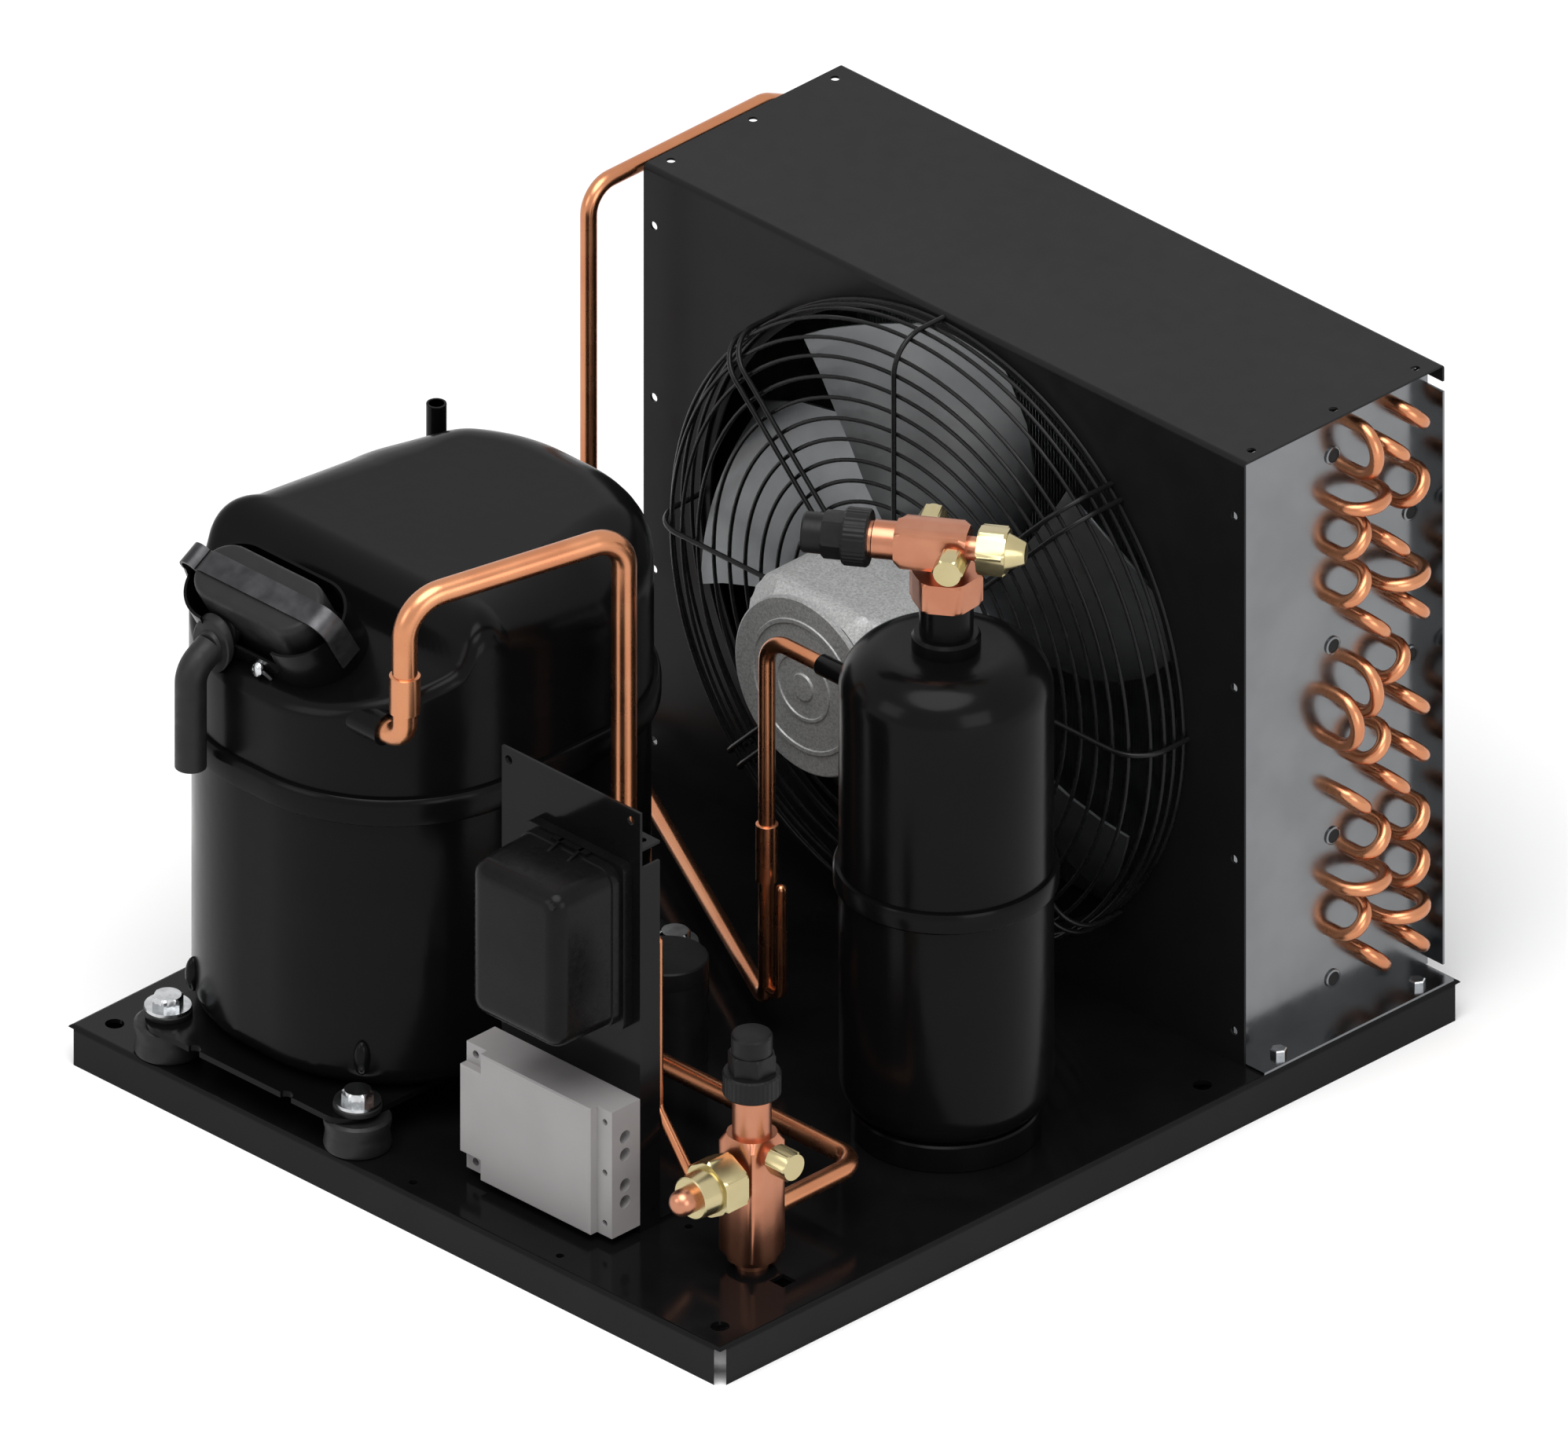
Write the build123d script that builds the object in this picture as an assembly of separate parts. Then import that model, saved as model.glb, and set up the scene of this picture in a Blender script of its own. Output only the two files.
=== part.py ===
"""Refrigeration condensing unit: hermetic compressor, receiver, valves and fan coil on one base plate.

Frame: millimetres, +Z up, +X along the front edge, +Y from the compressor to the coil.
Design coordinates start at the middle of the base plate's underside. When the pieces are
written they move by DATUM_Y, so that the origin is the middle of the whole footprint.
"""
from build123d import *
import os
from math import atan2, cos, degrees, hypot, pi, radians, sin, sqrt, tan

# ---------------------------------------------------------------- driving dimensions
# base plate
BASE_X = 427.0
BASE_Y = 485.0
BASE_H = 20.5
BASE_SHEET = 2.0
BASE_BEND = 2.5
CORNER_NOTCH = 5.6
MOUNT_SPACING_X = BASE_X - 31.0
MOUNT_SPACING_Y = 315.7
MOUNT_CENTRE_Y = -69.3
MOUNT_HOLE_D = 9.0

# fan coil housing
HOUSING_CX = 3.4
HOUSING_W = 393.0
SHROUD_SHEET = 1.2
PANEL_Y = 114.0
SHROUD_BACK_Y = 245.0
SHROUD_TOP_Z = 342.8
SHROUD_BEND = 2.5
BACK_LIP = 9.0
ORIFICE_R = 153.0
FAN_Z = (BASE_H + SHROUD_TOP_Z) / 2 - 0.65
PANEL_HOLE_D = 4.4
PANEL_HOLE_X = HOUSING_W / 2 - 6.7
PANEL_HOLE_TOP_Z = SHROUD_TOP_Z - 30.5
PANEL_HOLE_PITCH = (PANEL_HOLE_TOP_Z - BASE_H - 16.7) / 3
TOP_HOLE_FIRST_Y = 125.3
TOP_HOLE_PITCH = 53.7

# end plates and coil
END_PLATE_SHEET = 1.2
END_PLATE_OFFSET = HOUSING_W / 2 - 7.9
END_PLATE_BACK_Y = 242.0
END_PLATE_TOP_GAP = 1.2
FOOT_FLANGE = 20.0
BACK_FLANGE = 11.0
FLANGE_RELIEF = 3.0
ROW_Y = 179.5
ROW_PITCH = 12.7
TUBES_PER_ROW = 12
ROWS = 5
UPPER_TUBE_Z = SHROUD_TOP_Z - 12.5
TUBE_PITCH = (UPPER_TUBE_Z - BASE_H - 17.7) / (TUBES_PER_ROW - 0.5)
COIL_TUBE_D = 7.0
RIGHT_BEND_LEG = 4.0
LEFT_BEND_LEG = 2.0
COLLAR_D = 8.6
FIN_MARGIN = 6.5
EMPTY_HOLE_D = 7.6

# fan, motor and guard
GUARD_WIRE = 2.0
SPOKE_WIRE = 2.5
GUARD_R = 158.8
GUARD_FLAT_R = 140.8
GUARD_FLAT_RINGS = 10
GUARD_RING_PITCH = 10.33
GUARD_BEND_ANGLES = (62.0, 24.0)
GUARD_RIM_PITCH = 6.2
SPOKE_PAIR = 8.7
SPOKE_INNER_R = 34.0
MOTOR_AF = 88.0
MOTOR_CORNER_R = 18.0
MOTOR_FRONT_Y = 22.0
MOTOR_BACK_Y = 80.0
MOTOR_COVER_D = 90.0
MOTOR_COVER_T = 3.0
MOTOR_TURNED_L = 12.0
SHAFT_D = 8.0
SHAFT_GRIP = 16.0
RUNNING_GAP = 0.05
HUB_D = 84.0
HUB_FRONT_Y = 94.0
HUB_DEPTH = 38.0
HUB_WALL = 3.0
HUB_BOSS_D = 22.0
BLADES = 5
BLADE_TIP_R = 148.0
BLADE_T = 1.8
BLADE_MIDDLE_Y = 114.5
BLADE_PHASE = 12.0
# blade sections from hub to tip: radius, chord, lead angle, pitch angle
BLADE_SECTIONS = [(34.0, 52.0, 0.0, 33.0), (72.0, 82.0, 5.0, 30.0), (110.0, 96.0, 12.0, 26.0), (154.0, 94.0, 22.0, 22.0)]

# compressor
COMP_X = -101.5
COMP_Y = -122.9
FOOT_SPACING_X = 124.1
FOOT_SPACING_Y = 207.7
SHELL_HALF_X = 89.0
SHELL_HALF_Y = 108.4
SHELL_CORNER_R = 80.0
SHELL_BOTTOM_EDGE = 9.0
UPPER_SHELL_GROW = 1.2
SEAM_GROW = 4.7
SEAM_Z = 186.0
SEAM_H = 14.0
SHELL_TOP_Z = 284.0
SHELL_TOP_R = 24.0
FOOT_PLATE_T = 3.0
GROMMET_D = 32.0
GROMMET_H = 16.7
GROMMET_NECK_D = 18.0
GROMMET_CAP_D = 23.0
GROMMET_CAP_H = 3.2
WASHER_D = 22.0
WASHER_T = 1.6
BOLT_AF = 13.0
BOLT_HEAD_H = 5.3
BOLT_D = 8.0
TERMINAL_TILT = 30.0
RIDGE_Y = -156.0
RIDGE_Z = 280.0
RIDGE_R = 22.0
WALL_TILT = 70.0
FLOOR_TILT = 23.0
FLOOR_Z = 253.9

# terminal housing on the sloped recess
TERMINAL_X = -112.0
TERMINAL_DOWN_SLOPE = 52.2
FENCE_L = 92.0
FENCE_W = 46.0
FENCE_T = 1.4
FENCE_H = 27.0
FENCE_SINK = 8.0
FENCE_FRONT_DROP = 12.0
COVER_L = 74.0
COVER_W = 31.0
COVER_TOP_H = 37.2
COVER_RIM_H = 12.0
STRAP_W = 12.0
STRAP_T = 1.4
GLAND_X = -130.1
GLAND_Y = -230.3
GLAND_Z = 253.2
GLAND_D = 27.0
CONDUIT_D = 15.0
CONDUIT_REACH = 17.3
CONDUIT_BOTTOM_Z = 193.4

# receiver and its valve
RECEIVER_X = 141.0
RECEIVER_Y = -22.0
RECEIVER_D = 100.0
RECEIVER_BOTTOM_Z = 31.0
RECEIVER_TOP_Z = 277.0
RECEIVER_SEAM_Z = 152.0
RECEIVER_SEAM_H = 11.0
RECEIVER_SEAM_GROW = 2.6
RECEIVER_FOOT_D = 88.4
RECEIVER_FOOT_H = 13.4
RECEIVER_SHEET = 3.0
RECEIVER_BOTTOM_R = 20.0
RECEIVER_TOP_R = 22.0
NECK_D = 25.4
UNION_Z = 302.0
UNION_AF = 30.0
UNION_H = 15.0
VALVE_TURN = 33.7
VALVE_AXIS_Z = 330.6
VALVE_BLOCK = 19.4
VALVE_BLOCK_L = 34.0
VALVE_BLOCK_SHIFT = -6.4
VALVE_FOOT_D = 19.0
LIQUID_Z = 234.0
INLET_D = 10.4
INLET_L = 32.0

# valve stem, cap, flare fittings (both valves use the same ones)
STEM_D = 18.4
STEM_VISIBLE = 12.4
SERVICE_STEM_VISIBLE = 21.0
STEM_THREAD = 8.0
CAP_RING_D = 27.6
CAP_RING_H = 12.0
CAP_HEX_AF = 20.0
CAP_HEX_H = 10.0
CAP_TOP_D = 19.4
CAP_TOP_H = 10.0
CAP_CLEARANCE = 0.3
SPINDLE_D = 9.0
SPINDLE_SQUARE = 6.3
PLUG_AF = 13.0
PLUG_L = 12.5
FLARE_TUBE_D = 12.7

# front service valve
SERVICE_X = 167.4
SERVICE_Y = -175.6
SERVICE_W = 22.5
SERVICE_BOTTOM_Z = 24.6
SERVICE_TOP_Z = 91.0
SERVICE_FOOT_D = 16.0
SERVICE_FLARE_Z = 71.5
SERVICE_PLUG_Z = 83.0

# copper lines
SUCTION_D = 12.0
SOCKET_D = 16.0
LINE_D = 8.0
VALVE_LINE_D = 9.6
STUB_D = 5.2
COUPLING_WALL = 1.3
COUPLING_L = 22.0
SUCTION_X = 13.2
SUCTION_Y = -105.0
SUCTION_TOP_Z = 318.4
SUCTION_PORT_X = -21.5
SUCTION_PORT_Y = -213.8
SUCTION_PORT_Z = 239.5
VALVE_LINE_Z = 46.0
LIQUID_X = 23.7
LIQUID_RUN_Z = 38.7
LIQUID_SIDE_X = -208.8
DISCHARGE_X = -200.0
DISCHARGE_Y = 85.0
DISCHARGE_TOP_Z = 338.5

# electrical parts on the front bracket
BRACKET_X0 = 20.6
BRACKET_X1 = 111.0
BRACKET_Y = -192.4
BRACKET_SHEET = 1.5
BRACKET_TOP_Z = 244.5
BRACKET_FLANGE = 13.0
BRACKET_FLANGE_TOP_Z = 214.7
RELAY_X0 = 42.9
RELAY_X1 = 104.1
RELAY_DEPTH = 46.2
RELAY_BASE_DEPTH = 5.6
RELAY_Z0 = 129.2
RELAY_Z1 = 214.4
RELAY_RIM = 1.6
BOX_X0 = 16.0
BOX_X1 = 101.3
BOX_END_X = 111.0
BOX_Y = -215.8
BOX_COVER_T = 5.0
BOX_Z0 = 24.8
BOX_Z1 = 92.2
CAPACITOR_X = 2.6
CAPACITOR_Y = -65.4
CAPACITOR_D = 37.4
CAPACITOR_H = 52.8
CAPACITOR_LID_H = 9.6

# ---------------------------------------------------------------- worked-out places
CONDUIT_Y = GLAND_Y - CONDUIT_REACH * cos(radians(TERMINAL_TILT))
FRONT_Y = min(-BASE_Y / 2, CONDUIT_Y - CONDUIT_D / 2)
DATUM_Y = -(FRONT_Y + SHROUD_BACK_Y) / 2
DECK_Z = BASE_H
PLATE_Z = DECK_Z + GROMMET_H
SHELL_Z = PLATE_Z + FOOT_PLATE_T
RIGHT_PLATE_X = HOUSING_CX + END_PLATE_OFFSET
LEFT_PLATE_X = HOUSING_CX - END_PLATE_OFFSET
CENTRED = (Align.CENTER, Align.CENTER, Align.CENTER)
STANDING = (Align.CENTER, Align.CENTER, Align.MIN)


def save(name, *solids):
    """Write one named piece, or a group of like pieces, moved to the footprint datum."""
    flat = []
    for group in solids:
        for solid in group.solids():
            flat.append(solid.moved(Location((0, DATUM_Y, 0))))
    shape = flat[0] if len(flat) == 1 else Compound(children=flat)
    export_step(shape, f"parts/{name}.step")


def slab(x0, x1, y0, y1, z0, z1):
    """Box between two corners."""
    middle = Pos((x0 + x1) / 2, (y0 + y1) / 2, (z0 + z1) / 2)
    return middle * Box(x1 - x0, y1 - y0, z1 - z0)


def post(x, y, z0, z1, diameter):
    """Upright cylinder."""
    return Pos(x, y, z0) * Cylinder(diameter / 2, z1 - z0, align=STANDING)


def turned_post(x, y, z0, z1, diameter, low_r, high_r, bands=4):
    """Upright turned piece with rounded ends, each end drawn as a few cone bands."""
    radius = diameter / 2
    points = [(0, z0)]
    for step in range(bands + 1):
        t = pi / 2 * step / bands
        points.append((radius - low_r * (1 - sin(t)), z0 + low_r * (1 - cos(t))))
    for step in range(bands + 1):
        t = pi / 2 * step / bands
        points.append((radius - high_r * (1 - cos(t)), z1 - high_r * (1 - sin(t))))
    points.append((0, z1))
    outline = [p for i, p in enumerate(points) if i == 0 or p != points[i - 1]]
    profile = Plane.XZ * make_face(Polyline(*outline, close=True))
    return Pos(x, y, 0) * revolve(profile, Axis.Z, 360)


def rod(start, end, diameter):
    """Cylinder between two points."""
    start, end = Vector(*start), Vector(*end)
    along = end - start
    return Plane(origin=start, z_dir=along) * Cylinder(diameter / 2, along.length, align=STANDING)


def hex_prism(plane, across_flats, height, turn=0.0, edge=0.5):
    """Hexagon bar with its outer edges broken, standing on a plane."""
    bar = extrude(RegularPolygon(across_flats / sqrt(3), 6, rotation=turn), height)
    bar = chamfer(bar.faces().sort_by(Axis.Z)[-1].edges(), edge)
    return plane * bar


def bend_places(points, bend):
    """Start, middle and end of the arc at each corner; bend is one radius or one per corner."""
    points = [Vector(*p) for p in points]
    corners = len(points) - 2
    radii = bend if isinstance(bend, (list, tuple)) else [bend] * corners
    places = []
    for before, corner, after, radius in zip(points, points[1:], points[2:], radii):
        back = (before - corner).normalized()
        ahead = (after - corner).normalized()
        half = radians(back.get_angle(ahead)) / 2
        inward = (back + ahead).normalized()
        arc_start = corner + back * (radius / tan(half))
        arc_end = corner + ahead * (radius / tan(half))
        arc_middle = corner + inward * (radius / sin(half) - radius)
        places.append((arc_start, arc_middle, arc_end))
    return places


def bent_rod(points, diameter, bend):
    """Round bar along a bent path."""
    pieces = []
    start = Vector(*points[0])
    for arc_start, arc_middle, arc_end in bend_places(points, bend):
        pieces.append(Line(start, arc_start))
        pieces.append(ThreePointArc(arc_start, arc_middle, arc_end))
        start = arc_end
    pieces.append(Line(start, Vector(*points[-1])))
    path = Wire([piece.edge() for piece in pieces])
    along = Vector(*points[1]) - Vector(*points[0])
    section = Plane(origin=Vector(*points[0]), z_dir=along) * Circle(diameter / 2)
    return sweep(section, path=path)


def bar_along(points, diameter, sides, x_dir=None):
    """Many-sided bar with mitred joints through a row of points."""
    along = points[1] - points[0]
    plane = Plane(origin=points[0], x_dir=x_dir, z_dir=along)
    section = plane * RegularPolygon(diameter / 2, sides, rotation=180.0 / sides)
    return sweep(section, path=Polyline(*points), transition=Transition.RIGHT)


def bent_tube(points, diameter, bend):
    """Filled tube along a bent path, as a ten-sided bar with two chords to each bend."""
    corners = [Vector(*points[0])]
    for place in bend_places(points, bend):
        corners.extend(place)
    corners.append(Vector(*points[-1]))
    return bar_along(corners, diameter, 10)


# ---------------------------------------------------------------- base plate
def base_plate():
    """Sheet pan turned upside down: flat deck with a rim folded down all round."""
    outer = Pos(0, 0, 0) * Box(BASE_X, BASE_Y, BASE_H, align=STANDING)
    outer = fillet(outer.faces().sort_by(Axis.Z)[-1].edges(), BASE_BEND)
    inside = Box(BASE_X - 2 * BASE_SHEET, BASE_Y - 2 * BASE_SHEET, BASE_H - BASE_SHEET, align=STANDING)
    pan = outer - inside
    for side_x in (-1, 1):
        for side_y in (-1, 1):
            corner = Pos(side_x * BASE_X / 2, side_y * BASE_Y / 2, -1)
            slot = Rot(0, 0, 45) * Box(CORNER_NOTCH, 3 * CORNER_NOTCH, BASE_H - 0.5, align=STANDING)
            turn = 0 if side_x * side_y < 0 else 90
            pan -= corner * Rot(0, 0, turn) * slot
    holes = []
    for side_x in (-1, 1):
        for side_y in (-1, 1):
            x = side_x * MOUNT_SPACING_X / 2
            y = MOUNT_CENTRE_Y + side_y * MOUNT_SPACING_Y / 2
            holes.append(post(x, y, 0, BASE_H + 1, MOUNT_HOLE_D))
    for x, y in ((3.4, -233.3), (99.5, -233.3), (104.6, -172.0), (122.6, -172.0)):
        holes.append(post(x, y, 0, BASE_H + 1, 4.0))
    holes.append(slab(184.3, 193.3, -181.2, -172.2, 0, BASE_H + 1))
    for hole in holes:
        pan -= hole
    return pan


# ---------------------------------------------------------------- fan coil housing
def fan_shroud():
    """One folded sheet: the front panel with the fan orifice, the top and its back lip."""
    x0 = HOUSING_CX - HOUSING_W / 2
    x1 = HOUSING_CX + HOUSING_W / 2
    outside = slab(x0, x1, PANEL_Y, SHROUD_BACK_Y, DECK_Z, SHROUD_TOP_Z)
    long_edges = outside.edges().filter_by(Axis.X)
    top_edges = [e for e in long_edges if e.center().Z > SHROUD_TOP_Z - 1]
    outside = fillet(top_edges, SHROUD_BEND)
    inside = slab(
        x0 - 1, x1 + 1, PANEL_Y + SHROUD_SHEET, SHROUD_BACK_Y - SHROUD_SHEET,
        DECK_Z - 1, SHROUD_TOP_Z - SHROUD_SHEET,
    )
    sheet = outside - inside
    sheet -= slab(x0 - 1, x1 + 1, PANEL_Y + 20, SHROUD_BACK_Y + 1, DECK_Z - 1, SHROUD_TOP_Z - BACK_LIP)
    orifice = Pos(HOUSING_CX, PANEL_Y, FAN_Z) * Rot(90, 0, 0) * Cylinder(ORIFICE_R, 10)
    sheet -= orifice
    for side in (-1, 1):
        for step in range(4):
            z = PANEL_HOLE_TOP_Z - step * PANEL_HOLE_PITCH
            x = HOUSING_CX + side * PANEL_HOLE_X
            sheet -= Pos(x, PANEL_Y, z) * Rot(90, 0, 0) * Cylinder(PANEL_HOLE_D / 2, 10)
        for step in range(3):
            y = TOP_HOLE_FIRST_Y + step * TOP_HOLE_PITCH
            x = HOUSING_CX + side * PANEL_HOLE_X
            sheet -= Pos(x, y, SHROUD_TOP_Z) * Cylinder(PANEL_HOLE_D / 2, 10)
    return sheet


def end_plate(side):
    """Galvanised tube sheet, side +1 right and -1 left, with a foot flange and a back flange."""
    x_out = HOUSING_CX + side * END_PLATE_OFFSET
    x_in = x_out - side * END_PLATE_SHEET
    y0 = PANEL_Y + SHROUD_SHEET
    y1 = END_PLATE_BACK_Y
    z1 = SHROUD_TOP_Z - SHROUD_SHEET - END_PLATE_TOP_GAP
    sheet = slab(min(x_in, x_out), max(x_in, x_out), y0, y1, DECK_Z, z1)
    tip = x_out + side * FOOT_FLANGE
    sheet += slab(min(x_in, tip), max(x_in, tip), y0, y1 - FLANGE_RELIEF, DECK_Z, DECK_Z + END_PLATE_SHEET)
    tip = x_out + side * BACK_FLANGE
    back_z0 = DECK_Z + END_PLATE_SHEET + FLANGE_RELIEF
    back_z1 = SHROUD_TOP_Z - BACK_LIP - FLANGE_RELIEF
    sheet += slab(min(x_in, tip), max(x_in, tip), y1 - END_PLATE_SHEET, y1, back_z0, back_z1)
    return sheet


def tube_place(row, step):
    """Y and Z of a tube; rows 1, 3 and 5 sit half a pitch lower than rows 2 and 4."""
    y = ROW_Y + (row - 1) * ROW_PITCH
    drop = 0.0 if row % 2 == 0 else TUBE_PITCH / 2
    return y, UPPER_TUBE_Z - drop - step * TUBE_PITCH


EMPTY_PLACES = [(1, 0), (1, 4), (1, 8), (1, 11), (5, 2), (5, 5)]

# right side circuit: (row, step) to (row, step), read from the top down
RIGHT_BENDS = [
    ((4, 0), (5, 0)), ((2, 0), (2, 1)), ((3, 0), (4, 1)), ((5, 1), (4, 2)), ((1, 1), (3, 1)),
    ((2, 2), (1, 2)), ((3, 2), (4, 3)), ((5, 3), (3, 3)), ((2, 3), (1, 3)), ((4, 4), (5, 4)),
    ((2, 4), (3, 4)), ((4, 5), (3, 5)), ((2, 5), (2, 6)), ((4, 6), (5, 6)), ((1, 5), (1, 6)),
    ((3, 6), (2, 7)), ((4, 7), (5, 7)), ((3, 7), (4, 8)), ((1, 7), (2, 8)), ((5, 8), (4, 9)),
    ((3, 8), (2, 9)), ((5, 9), (4, 10)), ((1, 9), (3, 9)), ((5, 10), (3, 10)), ((2, 10), (1, 10)),
    ((4, 11), (5, 11)), ((2, 11), (3, 11)),
]
INLET_PLACE = (4, 0)
OUTLET_PLACE = (4, TUBES_PER_ROW - 1)


def left_bends():
    """Hairpin turns on the left: neighbours in one row, leaving the inlet and outlet free."""
    pairs = []
    taken = set(EMPTY_PLACES + [INLET_PLACE, OUTLET_PLACE])
    for row in range(1, ROWS + 1):
        free = [(row, step) for step in range(TUBES_PER_ROW) if (row, step) not in taken]
        pairs.extend(zip(free[0::2], free[1::2]))
    return pairs


def u_bend(side, leg, first, second):
    """Return bend standing out of an end plate, as a six-sided bar round a half turn."""
    y1, z1 = tube_place(*first)
    y2, z2 = tube_place(*second)
    x0 = HOUSING_CX + side * END_PLATE_OFFSET
    half = hypot(y2 - y1, z2 - z1) / 2
    across = Vector(0, y2 - y1, z2 - z1).normalized()
    middle = Vector(x0 + side * leg, (y1 + y2) / 2, (z1 + z2) / 2)
    out = Vector(side, 0, 0)
    points = [Vector(x0, y1, z1)]
    turns = 3
    for step in range(turns + 1):
        angle = pi * step / turns
        points.append(middle - across * (half * cos(angle)) + out * (min(half, TUBE_PITCH / 2) * sin(angle)))
    points.append(Vector(x0, y2, z2))
    return bar_along(points, COIL_TUBE_D, 6, across)


def fin_pack():
    """Pressed fins and tubes between the end plates, as one core with its drip edge."""
    y0 = ROW_Y - FIN_MARGIN
    y1 = ROW_Y + (ROWS - 1) * ROW_PITCH + FIN_MARGIN
    x0 = LEFT_PLATE_X + END_PLATE_SHEET
    x1 = RIGHT_PLATE_X - END_PLATE_SHEET
    return slab(x0, x1, y0, y1, DECK_Z + 3.0, SHROUD_TOP_Z - SHROUD_SHEET - 1.0)


# ---------------------------------------------------------------- fan guard, motor and fan
def about_fan(shape, turn=0.0):
    """Turn a shape about the fan's axis, which runs along Y."""
    return Pos(HOUSING_CX, 0, FAN_Z) * Rot(0, turn, 0) * shape


SPOKE_OUTER_R = GUARD_R + SPOKE_WIRE
SPOKE_FLAT_R = GUARD_FLAT_R + GUARD_WIRE / 2 + 0.2
RING_FRONT_Y = MOTOR_BACK_Y + SPOKE_WIRE


def guard_ring(radius, y):
    """One ring of the guard: square wire with a corner at every spoke, more sides on a larger one."""
    sides = 8 * max(2, round(radius / 40))
    half = GUARD_WIRE / 2
    ring = RegularPolygon(radius + half, sides) - RegularPolygon(radius - half, sides)
    return about_fan(Plane(origin=(0, y - half, 0), x_dir=(1, 0, 0), z_dir=(0, 1, 0)) * extrude(ring, GUARD_WIRE))


def guard_rings():
    """Flat rings in the front face, then the rings stacked round the rim."""
    rings = []
    for step in range(GUARD_FLAT_RINGS):
        rings.append(guard_ring(GUARD_FLAT_R - step * GUARD_RING_PITCH, RING_FRONT_Y + GUARD_WIRE / 2))
    bend_r = GUARD_R - SPOKE_FLAT_R
    bend_y = RING_FRONT_Y + bend_r
    half = GUARD_WIRE / 2
    for angle in GUARD_BEND_ANGLES:
        a = radians(angle)
        corner = half * (cos(a) + sin(a))
        ring_r = sqrt(corner ** 2 - 2 * half ** 2 + (bend_r - RUNNING_GAP) ** 2) - corner
        rings.append(guard_ring(SPOKE_FLAT_R + ring_r * cos(a), bend_y - ring_r * sin(a)))
    for step in range(3):
        y = PANEL_Y - GUARD_WIRE / 2 - step * GUARD_RIM_PITCH
        rings.append(guard_ring(GUARD_R - GUARD_WIRE / 2, y))
    return rings


def guard_spoke(turn, aside=0.0, bent=True):
    """Radial wire in front of the rings, bent back over the rim to the panel."""
    outer_r = SPOKE_OUTER_R if bent else GUARD_FLAT_R + GUARD_WIRE
    back_y = PANEL_Y if bent else RING_FRONT_Y
    z0, z1 = aside - SPOKE_WIRE / 2, aside + SPOKE_WIRE / 2
    wire = slab(SPOKE_INNER_R, outer_r, MOTOR_BACK_Y, back_y, z0, z1)
    if bent:
        corner = wire.edges().filter_by(Axis.Z).sort_by(lambda e: e.center().X - e.center().Y)[-1]
        wire = fillet(corner, SPOKE_OUTER_R - SPOKE_FLAT_R)
        hollow = slab(0, GUARD_R, RING_FRONT_Y, PANEL_Y + 1, z0 - 1, z1 + 1)
        corner = hollow.edges().filter_by(Axis.Z).sort_by(lambda e: e.center().X - e.center().Y)[-1]
        wire -= fillet(corner, GUARD_R - SPOKE_FLAT_R)
    return about_fan(wire, turn)


def guard_spokes():
    """Single spokes on the level and upright lines, pairs on the diagonals."""
    spokes = []
    for quarter in range(4):
        turn = 90.0 * quarter
        spokes.append(guard_spoke(turn, bent=turn != 90.0))
        for side in (-1, 1):
            spokes.append(guard_spoke(turn + 45.0, side * SPOKE_PAIR / 2))
    return spokes


def motor_housing():
    """Cast body: square with round corners, its front corners turned back to a cone."""
    y0 = MOTOR_FRONT_Y + MOTOR_COVER_T
    depth = MOTOR_BACK_Y - y0
    body = extrude(RectangleRounded(MOTOR_AF, MOTOR_AF, MOTOR_CORNER_R), depth)
    straight = depth - MOTOR_TURNED_L
    turned = Cylinder(MOTOR_AF * 0.64, straight, align=STANDING)
    turned += Pos(0, 0, straight) * Cone(MOTOR_AF * 0.64, MOTOR_COVER_D / 2, MOTOR_TURNED_L, align=STANDING)
    body = body & turned
    body -= Cylinder(SHAFT_D / 2 + RUNNING_GAP, SHAFT_GRIP, align=STANDING)
    return Pos(HOUSING_CX, MOTOR_BACK_Y, FAN_Z) * Rot(90, 0, 0) * body


def motor_cover():
    """Round front cover with a raised middle and a centre boss."""
    disc = Cylinder(MOTOR_COVER_D / 2, MOTOR_COVER_T - 0.8, align=STANDING)
    disc += Cylinder(MOTOR_COVER_D / 2 - 11.4, MOTOR_COVER_T, align=STANDING)
    disc += Pos(0, 0, MOTOR_COVER_T) * Cylinder(6.5, 1.2, align=STANDING)
    return Pos(HOUSING_CX, MOTOR_FRONT_Y + MOTOR_COVER_T, FAN_Z) * Rot(90, 0, 0) * disc


def fan_hub():
    """Open cup with a bored boss that grips the motor shaft."""
    cup = Cylinder(HUB_D / 2, HUB_DEPTH, align=STANDING)
    cup -= Cylinder(HUB_D / 2 - HUB_WALL, HUB_DEPTH - HUB_WALL, align=STANDING)
    cup += Pos(0, 0, HUB_DEPTH - SHAFT_GRIP) * Cylinder(HUB_BOSS_D / 2, SHAFT_GRIP, align=STANDING)
    cup -= Pos(0, 0, HUB_DEPTH - SHAFT_GRIP) * Cylinder(SHAFT_D / 2, SHAFT_GRIP + 1, align=STANDING)
    return Pos(HOUSING_CX, HUB_FRONT_Y + HUB_DEPTH, FAN_Z) * Rot(90, 0, 0) * cup


def fan_shaft():
    """Motor shaft, from its bearing in the motor back to the hub's boss."""
    y0 = MOTOR_BACK_Y - SHAFT_GRIP + 1.0
    y1 = HUB_FRONT_Y + SHAFT_GRIP
    return rod((HOUSING_CX, y0, FAN_Z), (HOUSING_CX, y1, FAN_Z), SHAFT_D)


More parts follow.
